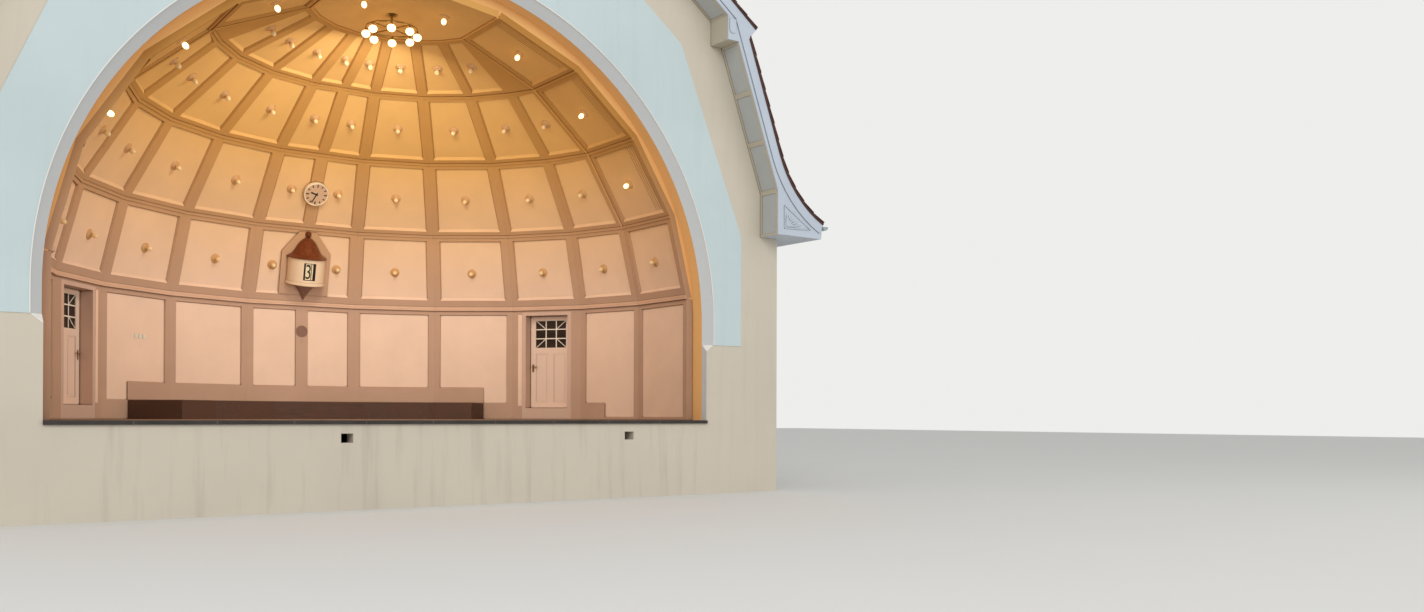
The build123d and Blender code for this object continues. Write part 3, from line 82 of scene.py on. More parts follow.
class Flat:
    """One flat face of a solid: its centre, direction, corners and area."""

    def __init__(self, face):
        self.centre = face.calc_center_median()
        self.normal = face.normal.copy()
        self.corners = [vert.co.copy() for vert in face.verts]
        self.area = face.calc_area()
        self.sunk = all(len(edge.link_faces) == 2 and not edge.is_convex for edge in face.edges)

    def upright(self):
        """The direction in the face that points most nearly up."""
        return (UP - self.normal * UP.dot(self.normal)).normalized()

    def level(self):
        """The level direction in the face, to the right as seen from its front."""
        return self.upright().cross(self.normal).normalized()

    def width(self):
        """Reach of the face in its level direction."""
        reach = [corner.dot(self.level()) for corner in self.corners]
        return max(reach) - min(reach)

    def seat(self):
        """Matrix at its centre, with local X level and local Z along its normal."""
        return placing(self.centre, self.level(), self.normal)

    def half_sizes(self):
        """Half its width and half its height."""
        back = self.seat().inverted()
        return [max((back @ corner)[k] for corner in self.corners) for k in (0, 1)]


def flats(node_name):
    """The flat faces of a node, from a merged copy of its surface, largest first."""
    shape = bmesh.new()
    shape.from_mesh(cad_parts[node_name].data)
    bmesh.ops.remove_doubles(shape, verts=shape.verts, dist=MERGE_DISTANCE)
    bmesh.ops.dissolve_limit(shape, angle_limit=FLAT_ANGLE, verts=shape.verts, edges=shape.edges)
    found = sorted((Flat(face) for face in shape.faces), key=lambda flat: -flat.area)
    shape.free()
    return found


# Making pieces

def piece(name, shape, finish, body=BUILDING, replaces=(), smooth=False):
    """A finished mesh object that rides on a body of the solids."""
    mesh = bpy.data.meshes.new(name)
    shape.to_mesh(mesh)
    shape.free()
    if smooth:
        mesh.shade_smooth()
        mesh.set_sharp_from_angle(angle=SHARP_ANGLE)
    mesh.materials.append(finish)
    made = bpy.data.objects.new(name, mesh)
    bpy.context.scene.collection.objects.link(made)
    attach(made, body)
    if replaces:
        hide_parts(*replaces)


def paint(finish, *nodes):
    """Gives a finish to nodes of the solids."""
    for name in nodes:
        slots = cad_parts[name].data.materials
        slots.clear()
        slots.append(finish)


def new_verts(made):
    """The vertices in the result of a mesh operation."""
    return [item for item in made["geom"] if isinstance(item, bmesh.types.BMVert)]


def add_block(shape, low, high, place=Matrix()):
    """Rectangular block between two corners, in the frame of a matrix."""
    low, high = Vector(low), Vector(high)
    matrix = place @ Matrix.Translation((low + high) / 2) @ Matrix.Diagonal((*(high - low), 1))
    bmesh.ops.create_cube(shape, size=1, matrix=matrix)


def add_turned(shape, profile, place=Matrix(), steps=24, angle=WHOLE_TURN):
    """Body turned about local Z from (radius, height) steps."""
    body = bmesh.new()
    verts = [body.verts.new((radius, 0, height)) for radius, height in profile]
    edges = [body.edges.new(pair) for pair in zip(verts, verts[1:])]
    bmesh.ops.spin(body, geom=verts + edges, cent=(0, 0, 0), axis=(0, 0, 1), angle=angle,
                   steps=steps, use_merge=angle == WHOLE_TURN, use_duplicate=False)
    repeat(shape, as_pattern(body), [place])


def add_plate(shape, corners, out, thickness):
    """Flat plate on a face."""
    face = shape.faces.new([shape.verts.new(corner) for corner in corners])
    face.normal_update()
    if face.normal.dot(out) < 0:
        face.normal_flip()
    made = bmesh.ops.extrude_face_region(shape, geom=[face], use_keep_orig=True)
    bmesh.ops.translate(shape, vec=out * thickness, verts=new_verts(made))
    face.normal_flip()


def tidied(shape):
    """Merges what coincides and turns every face outward."""
    bmesh.ops.remove_doubles(shape, verts=shape.verts, dist=MERGE_DISTANCE)
    bmesh.ops.recalc_face_normals(shape, faces=shape.faces)
    return shape


def as_pattern(shape):
    """A small mesh to repeat, from a shape."""
    mesh = bpy.data.meshes.new("pattern")
    tidied(shape).to_mesh(mesh)
    shape.free()
    return mesh


def turned_pattern(profile, steps):
    """A small turned body to repeat."""
    shape = bmesh.new()
    add_turned(shape, profile, steps=steps)
    return as_pattern(shape)


def repeat(shape, pattern, places):
    """Adds a copy of a small mesh at each of the places, and lets go of the mesh."""
    for place in places:
        made = pattern.copy()
        made.transform(place)
        shape.from_mesh(made)
        bpy.data.meshes.remove(made)
    bpy.data.meshes.remove(pattern)
    return shape


def arc(radius, centre, start, sweep, count, stretch=1.0):
    """Points (radius, height) on the outline of a ball, between angles in degrees."""
    angles = [math.radians(start + sweep * k / (count - 1)) for k in range(count)]
    return [(max(0, radius * math.cos(angle)), centre + stretch * radius * math.sin(angle))
            for angle in angles]


# Finishes

def linear(code):
    """Linear colour from an sRGB hex code."""
    parts = [int(code[k:k + 2], 16) / 255 for k in (1, 3, 5)]
    return [c / 12.92 if c <= 0.04045 else ((c + 0.055) / 1.055) ** 2.4 for c in parts]


def shade(colour, factor=1.0):
    """A colour with its alpha, made lighter or darker."""
    return [min(1.0, c * factor) for c in colour[:3]] + [1.0]


DIRT = linear("#8E887C")
# Brown that darkens corners and creases, as painted shade
CREVICE_SHADE_TINT = linear("#5A4632")
LICHEN = linear("#7B766A")
CHAMFER_DEPTH = 0.157
OPENING_HALF_WIDTH = 6.2
# Heights in metres over which the half dome's colour turns from low to high, as painted warm
# lamplight toward the crown
LAMPLIGHT_LOW, LAMPLIGHT_HIGH = 3.8, 7.0
BOARD_STRETCH = (0.06, 1, 1)
STREAK_STRETCH = (3.0, 3.0, 0.22)
RENDER_GRAIN = (12, 1.2, 0.5)


def node(tree, kind, settings=None, links=None):
    """Adds a node with its settings and links. A number or a name picks a socket."""
    made = tree.nodes.new(kind)
    for name, value in (settings or {}).items():
        if name == "stops":
            for point, (position, colour) in zip(made.color_ramp.elements, value):
                point.position, point.color = position, colour
        elif name == "interpolation":
            made.color_ramp.interpolation = value
        elif isinstance(name, int) or name in made.inputs:
            made.inputs[name].default_value = value
        else:
            setattr(made, name, value)
    for name, source in (links or {}).items():
        tree.links.new(source, made.inputs[name])
    return made


def new_finish(name, roughness, specular, colour, grain=None, **sockets):
    """A node material with its shader's own values.

    The colour is a function of the tree and the object's coordinates. The grain is a bump's
    width and depth in millimetres and its strength.
    """
    finish = bpy.data.materials.new(name)
    finish.use_nodes = True
    tree = finish.node_tree
    shader = tree.nodes["Principled BSDF"]
    shader.inputs["Roughness"].default_value = roughness
    shader.inputs["Specular IOR Level"].default_value = specular
    for socket, value in sockets.items():
        shader.inputs[socket.replace("_", " ")].default_value = value
    place = node(tree, "ShaderNodeTexCoord").outputs["Object"]
    tree.links.new(colour(tree, place), shader.inputs["Base Color"])
    if grain:
        width, depth, strength = grain
        noise = node(tree, "ShaderNodeTexNoise", {"Scale": 1 / (width * MM), "Detail": 3.0},
                     {"Vector": place})
        bump = node(tree, "ShaderNodeBump", {"Strength": strength, "Distance": depth * MM},
                    {"Height": noise.outputs["Fac"]})
        tree.links.new(bump.outputs["Normal"], shader.inputs["Normal"])
    return finish


def clouds(tree, place, colour, size, spread):
    """A colour with soft clouds of a given size in metres."""
    noise = node(tree, "ShaderNodeTexNoise", {"Scale": 1 / size, "Detail": 4.0, "Roughness": 0.55},
                 {"Vector": place})
    return node(tree, "ShaderNodeValToRGB",
                {"stops": [(0.32, shade(colour, 1 - spread)), (0.68, shade(colour, 1 + spread))]},
                {"Fac": noise.outputs["Fac"]}).outputs["Color"]


def clouded(name, roughness, specular, colour, size, spread, grain=None, **sockets):
    """A finish whose colour has soft clouds and no other pattern."""
    return new_finish(name, roughness, specular,
                      lambda tree, place: clouds(tree, place, colour, size, spread),
                      grain, **sockets)


def marked(tree, place, base, noise, low, high, amount, colour, blend="MIX"):
    """A second colour over a base, where a noise passes from a low to a high level."""
    spots = node(tree, "ShaderNodeTexNoise", noise, {"Vector": place})
    share = node(tree, "ShaderNodeMapRange",
                 {"From Min": low, "From Max": high, "To Max": amount},
                 {"Value": spots.outputs["Fac"]})
    mixed = node(tree, "ShaderNodeMix",
                 {"data_type": "RGBA", "blend_type": blend, 7: shade(colour)},
                 {0: share.outputs["Result"], 6: base})
    return mixed.outputs[2]


def painted_crevice_shade(tree, base, reach, amount):
    """Painted shade where surfaces meet, over a colour, within a reach in metres: corners and
    creases are drawn darker.
    """
    corner = node(tree, "ShaderNodeAmbientOcclusion", {"samples": 8, "Distance": reach})
    share = node(tree, "ShaderNodeMapRange",
                 {"From Min": 0.35, "From Max": 0.85, "To Min": amount, "To Max": 0.0},
                 {"Value": corner.outputs["AO"]})
    mixed = node(tree, "ShaderNodeMix",
                 {"data_type": "RGBA", "blend_type": "MULTIPLY", 7: shade(CREVICE_SHADE_TINT)},
                 {0: share.outputs["Result"], 6: base})
    return mixed.outputs[2]


def opening_paint(tree, place, outside, chamfer, reveal):
    """The paints of the chamfer and of the inside of the arch, beside the paint outside.

    The paint changes where the depth behind the front face passes the two edges of the chamfer,
    and only inside the opening's outline.
    """
    axes = node(tree, "ShaderNodeSeparateXYZ", links={0: place})
    depth = node(tree, "ShaderNodeMapRange",
                 {"From Min": FRONT_FACE, "From Max": FRONT_FACE + 1.0},
                 {"Value": axes.outputs["Y"]})
    inner = node(tree, "ShaderNodeValToRGB",
                 {"interpolation": "CONSTANT",
                  "stops": [(0.0, shade(chamfer)), (CHAMFER_DEPTH, shade(reveal))]},
                 {"Fac": depth.outputs["Result"]})
    behind = node(tree, "ShaderNodeMath", {"operation": "GREATER_THAN", 1: FRONT_FACE + 1 * MM},
                  {0: axes.outputs["Y"]})
    beside = node(tree, "ShaderNodeMath", {"operation": "ABSOLUTE"}, {0: axes.outputs["X"]})
    within = node(tree, "ShaderNodeMath", {"operation": "LESS_THAN", 1: OPENING_HALF_WIDTH},
                  {0: beside.outputs[0]})
    both = node(tree, "ShaderNodeMath", {"operation": "MULTIPLY"},
                {0: behind.outputs[0], 1: within.outputs[0]})
    mixed = node(tree, "ShaderNodeMix", {"data_type": "RGBA"},
                 {0: both.outputs[0], 6: outside, 7: inner.outputs["Color"]})
    return mixed.outputs[2]


def painted_render(name, colour, streaks=0.3, opening=()):
    """Lime-cement render, floated and rolled with silicate paint.

    The eye gets a flat matt colour, a sand grain of 2 mm (drawn 12 mm wide so that it shows),
    cloudy patches where the wall dries slowly, and faint upright rain streaks. An opening's
    chamfer and inside are painted apart.
    """
    def coat(tree, place):
        tall = node(tree, "ShaderNodeMapping", {"Scale": STREAK_STRETCH}, {"Vector": place})
        outside = marked(tree, tall.outputs["Vector"], clouds(tree, place, colour, 2.2, 0.035),
                         {"Scale": 1.6, "Detail": 5.0, "Roughness": 0.6}, 0.52, 0.80, streaks,
                         DIRT, "MULTIPLY")
        return opening_paint(tree, place, outside, *opening) if opening else outside

    return new_finish(name, 0.9, 0.25, coat, RENDER_GRAIN)


def distempered_plaster(name, low_colour, high_colour):
    """Gypsum plaster on timber ribs, smoothed and brushed with distemper.

    The eye gets a dead matt, even surface with slow clouds of 0.7 m, growing warmer toward the
    crown as painted warm lamplight, and painted shade in the corners of the mouldings.
    """
    def coat(tree, place):
        axes = node(tree, "ShaderNodeSeparateXYZ", links={0: place})
        height = node(tree, "ShaderNodeMapRange",
                      {"From Min": LAMPLIGHT_LOW, "From Max": LAMPLIGHT_HIGH},
                      {"Value": axes.outputs["Z"]})
        # Painted warm lamplight: the colour turns warmer with height
        lamp_warmth = node(tree, "ShaderNodeValToRGB",
                    {"stops": [(0.0, shade(low_colour)), (1.0, shade(high_colour))]},
                    {"Fac": height.outputs["Result"]})
        patches = clouds(tree, place, (0.93, 0.93, 0.93), 0.7, 0.035)
        mixed = node(tree, "ShaderNodeMix", {"data_type": "RGBA", "blend_type": "MULTIPLY", 0: 1.0},
                     {6: lamp_warmth.outputs["Color"], 7: patches})
        return painted_crevice_shade(tree, mixed.outputs[2], 0.05, 0.75)

    return new_finish(name, 0.95, 0.15, coat, (6, 0.5, 0.35))


def painted_board(name, colour, roughness=0.45):
    """Planed softwood boards under two coats of alkyd paint.

    The eye gets an even satin coat with a fine unevenness of 6 mm, and painted shade in its
    corners.
    """
    return new_finish(name, roughness, 0.4,
                      lambda tree, place: painted_crevice_shade(
                          tree, clouds(tree, place, colour, 0.9, 0.03), 0.055, 0.9),
                      (6, 0.4, 0.3))


def oiled_wood(name, colour):
    """Pine boards with a worn oil varnish.

    The eye gets brown long-grained boards, darker in the late wood about every 4 mm (drawn
    coarser), with dull trodden patches of half a metre.
    """
    def coat(tree, place):
        drawn = node(tree, "ShaderNodeMapping", {"Scale": BOARD_STRETCH}, {"Vector": place})
        fibre = node(tree, "ShaderNodeTexNoise", {"Scale": 70.0, "Detail": 6.0, "Roughness": 0.6},
                     {"Vector": drawn.outputs["Vector"]})
        wood = node(tree, "ShaderNodeValToRGB",
                    {"stops": [(0.3, shade(colour, 0.72)), (0.7, shade(colour, 1.25))]},
                    {"Fac": fibre.outputs["Fac"]})
        worn = node(tree, "ShaderNodeTexNoise", {"Scale": 2.0, "Detail": 4.0}, {"Vector": place})
        share = node(tree, "ShaderNodeMapRange",
                     {"From Min": 0.45, "From Max": 0.75, "To Max": 0.45},
                     {"Value": worn.outputs["Fac"]})
        mixed = node(tree, "ShaderNodeMix", {"data_type": "RGBA", 7: shade(colour, 1.5)},
                     {0: share.outputs["Result"], 6: wood.outputs["Color"]})
        shader = tree.nodes["Principled BSDF"]
        dull = node(tree, "ShaderNodeMapRange",
                    {"From Min": 0.4, "From Max": 0.8, "To Min": 0.55, "To Max": 0.85},
                    {"Value": worn.outputs["Fac"]})
        tree.links.new(dull.outputs["Result"], shader.inputs["Roughness"])
        bump = node(tree, "ShaderNodeBump", {"Strength": 0.3, "Distance": 0.6 * MM},
                    {"Height": fibre.outputs["Fac"]})
        tree.links.new(bump.outputs["Normal"], shader.inputs["Normal"])
        return mixed.outputs[2]

    return new_finish(name, 0.55, 0.4, coat)


def fired_clay(name, colour):
    """Engobed clay roof tiles, fired dark red-brown.

    The eye gets a matt slip whose brown differs from tile to tile by a fifth, with a little
    grey lichen in spots of 80 mm.
    """
    def coat(tree, place):
        cell = node(tree, "ShaderNodeTexVoronoi", {"Scale": 3.6, "Randomness": 1.0},
                    {"Vector": place})
        tint = node(tree, "ShaderNodeSeparateColor", links={"Color": cell.outputs["Color"]})
        body = node(tree, "ShaderNodeValToRGB",
                    {"stops": [(0.0, shade(colour, 0.78)), (1.0, shade(colour, 1.22))]},
                    {"Fac": tint.outputs["Red"]})
        return marked(tree, place, body.outputs["Color"],
                      {"Scale": 12.0, "Detail": 6.0, "Roughness": 0.65}, 0.60, 0.72, 0.35, LICHEN)

    return new_finish(name, 0.72, 0.35, coat, (9, 0.8, 0.5))


def dressed_stone(name, colour):
    """Sawn basalt-grey coping stone.

    The eye gets a dark grain of 3 mm (drawn 9 mm) with lighter worn patches of 0.4 m.
    """
    return new_finish(name, 0.8, 0.3,
                      lambda tree, place: marked(
                          tree, place, clouds(tree, place, colour, 0.4, 0.18),
                          {"Scale": 110.0, "Detail": 2.0}, 0.55, 0.7, 0.3, shade(colour, 2.2)),
                      (9, 0.8, 0.5))


def zinc_paint(name, colour, roughness=0.4):
    """Zinc sheet with a coat of paint: even satin, chalky where it has weathered."""
    return clouded(name, roughness, 0.45, colour, 0.35, 0.07, (30, 0.3, 0.25))


def aged_copper(name, colour):
    """Copper sheet, browned by years of air: a warm metal sheen with darker spots of 50 mm."""
    return clouded(name, 0.34, 0.5, colour, 0.05, 0.22, (25, 0.5, 0.3), Metallic=0.6)


def turned_metal(name, colour, roughness):
    """Brass or steel fittings, turned and handled: bright metal with finger-dulled clouds."""
    return clouded(name, roughness, 0.5, colour, 0.03, 0.08, Metallic=1.0)


def enamel(name, colour, roughness=0.25):
    """Stove enamel on pressed steel, or glazed ceramic: smooth, with a soft gloss."""
    return clouded(name, roughness, 0.5, colour, 0.12, 0.03)


def opal_glass(name, colour, glow=0.0):
    """Opal lamp glass: milky, glossy, and lit from inside where the lamp burns."""
    return clouded(name, 0.2, 0.5, colour, 0.05, 0.02, Emission_Strength=glow,
                   Emission_Color=shade(colour))


def glass_painted_dark(name, colour):
    """Float glass before a dark room: nearly black as painted shade of the room behind, with a
    clear reflection and faint dust.
    """
    return clouded(name, 0.06, 0.5, colour, 0.15, 0.15)


# Sizes and colours that a user would change

def colour_of(name, description, code):
    return bpy.props.FloatVectorProperty(name=name, description=description, subtype="COLOR",
                                         size=3, min=0.0, max=1.0, default=linear(code))


def length_of(name, description, millimetres):
    return bpy.props.FloatProperty(name=name, description=description, unit="LENGTH",
                                   min=0.0, default=millimetres * MM)


class BandShellPaint(bpy.types.PropertyGroup):
    """Paint colours of the walls and the half dome."""
    facade: colour_of("Facade", "Cream paint of the front wall", "#CDC4B4")
    flank: colour_of("Flanks", "Paint of the side and rear walls", "#C6BCAA")
    band: colour_of("Band", "Blue-green paint around the arch", "#C3D1D3")
    chamfer: colour_of("Chamfer", "Paint of the chamfered edge of the arch", "#C6CACB")
    reveal: colour_of("Reveal", "Paint of the inside of the arch", "#EBB674")
    bead: colour_of("Bead", "White bead and stops of the arch", "#E2E2DE")
    # The high colours are warmer than the low ones as painted warm lamplight near the crown
    field_low: colour_of("Fields, low", "Paint of the wall fields", "#E8C5A8")
    field_high: colour_of("Fields, high", "Paint of the highest coffers", "#DCA860")
    rib_low: colour_of("Ribs, low", "Paint of the ribs by the stage", "#BC977C")
    rib_high: colour_of("Ribs, high", "Paint of the ribs by the crown", "#BE8947")


class BandShellRoof(bpy.types.PropertyGroup):
    """Sizes and colours of the roof covering and its timber trim."""
    tile: colour_of("Tiles", "Fired clay of the roof tiles", "#4B2E28")
    trim: colour_of("Boards", "Paint of the verge boards", "#BCC6D2")
    soffit: colour_of("Soffit", "Paint of the soffit frames", "#BBB2A1")
    soffit_field: colour_of("Soffit panels", "Paint of the soffit panels", "#B2B5B4")
    gutter: colour_of("Gutter", "Paint of the gutters", "#93A3A2")
    cover: length_of("Course", "Visible length of one tile", 330)
    overlap: length_of("Overlap", "Length of a tile under the next one", 45)
    tile_width: length_of("Tile width", "Visible width of one tile", 232)
    tile_thickness: length_of("Tile thickness", "Thickness of the clay", 18)
    tile_roll: length_of("Tile roll", "Height of the roll of a tile", 15)
    ridge_cover: length_of("Ridge course", "Visible length of one ridge tile", 333)
    hook_spacing: length_of("Hooks", "Distance between gutter hooks", 750)


class BandShellLamps(bpy.types.PropertyGroup):
    """Sizes and colours of the lamps in the half dome."""
    rose: colour_of("Roses", "Glaze of the lamp roses", "#C4935C")
    globe: colour_of("Globes", "Opal glass of the globes", "#EBCB92")
    burning: colour_of("Burning", "Opal glass of the lamps that burn", "#FFE2A6")
    glow: bpy.props.FloatProperty(name="Glow", description="Strength of the lamps that burn",
                                  min=0.0, max=8.0, default=3.0)
    rose_radius: length_of("Rose radius", "Radius of a lamp rose", 98)
    globe_radius: length_of("Globe radius", "Radius of a globe", 46)
    lit_below: length_of("Front bay", "Lamps nearer the front wall than this burn", 1500)


class BandShellFittings(bpy.types.PropertyGroup):
    """Colours of the clock, the programme box, the doors and the stage."""
    dial: colour_of("Dial", "Face of the clock", "#C39C76")
    case: colour_of("Clock case", "Enamel of the clock case", "#E3CFA8")
    ink: colour_of("Marks", "Hour marks and hands", "#1B1612")
    drum: colour_of("Drum", "Paint of the programme box", "#D9BC98")
    copper: colour_of("Copper", "Roof of the programme box", "#7E4527")
    door: colour_of("Doors", "Paint of the stage doors", "#DFBFA6")
    door_frame: colour_of("Door frames", "Paint of the door frames", "#C6A48D")
    brass: colour_of("Brass", "Handles and lamp ring", "#A98A4E")
    steel: colour_of("Steel", "Hinges", "#8D8D8A")
    # The panes' near-black is painted shade of the dark room behind the doors
    glass: colour_of("Glass", "Panes of the stage doors", "#241C18")
    boards: colour_of("Stage boards", "Boards of the stage", "#6B5340")
    podium: colour_of("Podium", "Wood of the podium", "#4E3426")
    coping: colour_of("Coping", "Stone of the stage's edge", "#3B3836")
    bar_width: length_of("Glazing bars", "Width of a glazing bar", 22)
    board_width: length_of("Board width", "Width of a stage board", 120)


# Outer walls

class BANDSHELL_OT_outer_walls(bpy.types.Operator):
    """Paint the rendered walls, the band around the arch and its white bead"""
    bl_idname = "bandshell.outer_walls"
    bl_label = "Outer walls"

    def execute(self, context):
        look = context.scene.band_shell_paint
        for name, colour, streaks, opening, nodes in (
                ("front", look.facade, 0.08, (look.chamfer, look.reveal),
                 ("front_piers", "front_gable_left", "front_gable_right")),
                ("flanks", look.flank, 0.3, (), ("side_walls", "rear_wall")),
                ("band", look.band, 0.06, (), ("arch_band",)),
                ("bead", look.bead, 0.0, (), ("arch_bead", "chamfer_stops")),
                ("stage_front", look.facade, 0.25, (), ("stage_front_wall",)),
                ("reveal", look.reveal, 0.0, (), ("arch_closure",))):
            paint(painted_render("painted_render_" + name, colour, streaks, opening), *nodes)
        return {"FINISHED"}


# Roof

ROOF_SEED = 7
SMALLEST_STRIP = 0.5
TILE_OUTLINE = ((0.0, 0.0), (0.56, 0.0), (0.68, 0.6), (0.80, 1.0), (0.92, 0.6), (1.02, 0.0))
TILE_LAP = 0.02
VERGE_GAP = 2 * MM
TILE_SLIP = 3 * MM
TILE_TWIST = 0.3  # degrees
RIDGE_WIDE, RIDGE_NARROW = 0.99, 0.87
RIDGE_COLLAR = 28 * MM


def slope_profile(name, side, ceiling):
    """Points (x, z) of a tiled slope, from its eave to its top, below a height."""
    strips = [flat for flat in flats(name)
              if flat.area > SMALLEST_STRIP and flat.normal.x * side > 0.2 and flat.normal.z > 0.2
              and flat.centre.x * side > 0.5 and flat.centre.z < ceiling]
    if not strips:
        raise RuntimeError("no tiled slope found on " + name)
    strips.sort(key=lambda flat: flat.centre.z)
    ends = [min(strips[0].corners, key=lambda corner: corner.z)]
    ends += [max(strip.corners, key=lambda corner: corner.z) for strip in strips]
    return [Vector((end.x, end.z)) for end in ends]


def on_profile(points, distance):
    """The point at a distance from the eave along a slope."""
    for low, high in zip(points, points[1:]):
        length = (high - low).length
        if distance <= length + 1e-6:
            return low + (high - low) * (distance / length)
        distance -= length
    return points[-1]


def clay_tile(look, width, length):
    """One interlocking pantile: a flat pan with a roll along its right edge."""
    shape = bmesh.new()
    verts = [shape.verts.new((share * width, 0, rise * look.tile_roll))
             for share, rise in TILE_OUTLINE]
    edges = [shape.edges.new(pair) for pair in zip(verts, verts[1:])]
    made = bmesh.ops.extrude_edge_only(shape, edges=edges)
    bmesh.ops.translate(shape, vec=(0, length, 0), verts=new_verts(made))
    made = bmesh.ops.extrude_face_region(shape, geom=list(shape.faces), use_keep_orig=True)
    bmesh.ops.translate(shape, vec=(0, 0, look.tile_thickness), verts=new_verts(made))
    return as_pattern(shape)


def tile_slope(name, node_name, side, look, finish, draw):
    """Courses of tiles from the eave to the top of one slope."""
    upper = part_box("roof_upper_right")
    points = slope_profile(node_name, side, upper[1 if "upper" in node_name else 0].z)
    total = sum((high - low).length for low, high in zip(points, points[1:]))
    courses = round(total / look.cover)
    cover = total / courses
    low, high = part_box(node_name)
    columns = round((high.y - low.y) / look.tile_width)
    width = (high.y - low.y - 2 * VERGE_GAP) / (columns + TILE_LAP)
    start_y = low.y + VERGE_GAP if side > 0 else high.y - VERGE_GAP
    across = Vector((0, side, 0))
    lift = (Matrix.Translation((0, 0, look.tile_thickness))
            @ Matrix.Rotation(-math.atan2(look.tile_thickness, cover), 4, "X"))
    places = []
    for course in range(courses):
        here = on_profile(points, course * cover)
        after = on_profile(points, (course + 1) * cover)
        climb = Vector((after.x - here.x, 0, after.y - here.y)).normalized()
        slope = placing(Vector((here.x, start_y, here.y)), across, across.cross(climb))
        for column in range(columns):
            shift = Matrix.Translation((column * width, draw.uniform(0, TILE_SLIP), 0))
            turn = Matrix.Rotation(math.radians(draw.uniform(-TILE_TWIST, TILE_TWIST)), 4, "Y")
            places.append(slope @ lift @ shift @ turn)
    shape = repeat(bmesh.new(), clay_tile(look, width, cover + look.overlap), places)
    piece(name, shape, finish)


def ridge(look, finish):
    """Tapered round ridge tiles, each with a collar over the next one."""
    low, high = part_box("ridge_tiles")
    radius = (high.x - low.x) / 2
    count = round((high.y - low.y) / look.ridge_cover)
    cover = (high.y - low.y) / count
    wide, narrow = RIDGE_WIDE * radius, RIDGE_NARROW * radius
    profile = [(0, 0), (wide, 0), (wide, RIDGE_COLLAR), (wide - 7 * MM, RIDGE_COLLAR + 6 * MM),
               (narrow, cover), (0, cover)]
    centre = Vector((0, low.y, high.z - radius))
    shape = repeat(bmesh.new(), turned_pattern(profile, 18),
                   [placing(centre + INWARD * k * cover, RIGHT, INWARD) for k in range(count)])
    piece("ridge_caps", shape, finish, replaces=["ridge_tiles"], smooth=True)


class BANDSHELL_OT_roof_tiles(bpy.types.Operator):
    """Lay the clay tiles of the four slopes and the ridge"""
    bl_idname = "bandshell.roof_tiles"
    bl_label = "Roof tiles"

    def execute(self, context):
        look = context.scene.band_shell_roof
        finish = fired_clay("fired_clay_tiles", look.tile)
        draw = random.Random(ROOF_SEED)
        paint(finish, "roof_upper_left", "roof_upper_right", "roof_lower_slopes")
        for name, node_name, side in (("tiles_upper_right", "roof_upper_right", 1),
                                      ("tiles_upper_left", "roof_upper_left", -1),
                                      ("tiles_lower_right", "roof_lower_slopes", 1),
                                      ("tiles_lower_left", "roof_lower_slopes", -1)):
            tile_slope(name, node_name, side, look, finish, draw)
        ridge(look, finish)
        return {"FINISHED"}


# Timber trim and gutters

RELIEF_CORNERS = ((7.264, 5.789), (7.964, 5.353), (7.266, 5.325))
RELIEF_FRAME = 16 * MM
RELIEF_RISE = 12 * MM
RELIEF_SWELL = 19 * MM
LEAF_ROOT = Vector((0.05, 0, 0.04))
LEAF_HALF_WIDTH = 22 * MM
# Each leaf's angle in degrees and its length
LEAVES = ((8, 0.42), (22, 0.34), (38, 0.28), (55, 0.26), (72, 0.27), (86, 0.29))
KNOTS = ((0.24, 0.12), (0.36, 0.09), (0.13, 0.22))
KNOT_RADIUS = 24 * MM
TONGUE_SPAN = (5.857, 6.017)
TONGUE_HEIGHTS = (8.997, 9.280)
BOARD_FACE = 20 * MM
SMALLEST_PANEL = 0.2
HOOK_HALF_WIDTH = 12 * MM
HOOK_MARGIN = 40 * MM


class BANDSHELL_OT_roof_trim(bpy.types.Operator):
    """Paint the verge boards, soffits and gutters, and carve their ornaments"""
    bl_idname = "bandshell.roof_trim"
    bl_label = "Verges and gutters"

    def execute(self, context):
        look = context.scene.band_shell_roof
        white = painted_board("painted_board_verge", look.trim)
        paint(white, "bargeboards", "eaves_boxes")
        paint(painted_board("painted_board_soffit", look.soffit), "verge_soffits")
        panels = bmesh.new()
        for flat in flats("verge_soffits"):
            if flat.sunk and flat.area > SMALLEST_PANEL and abs(flat.normal.y) < 0.1:
                add_plate(panels, flat.corners, flat.normal, 2 * MM)
        piece("soffit_panels", panels,
              painted_board("painted_board_soffit_panels", look.soffit_field))
        zinc = zinc_paint("painted_zinc_gutter", look.gutter)
        paint(zinc, "gutters")
        reliefs(white)
        hooks(look, zinc)
        return {"FINISHED"}


def add_swelling(shape, centre, along, half_length, half_width):
    """Raised oval on the front of a board."""
    size = Matrix.Diagonal((half_length, half_width, RELIEF_SWELL, 1))
    bmesh.ops.create_uvsphere(shape, u_segments=12, v_segments=8, radius=1,
                              matrix=placing(centre, along, OUTWARD) @ size)


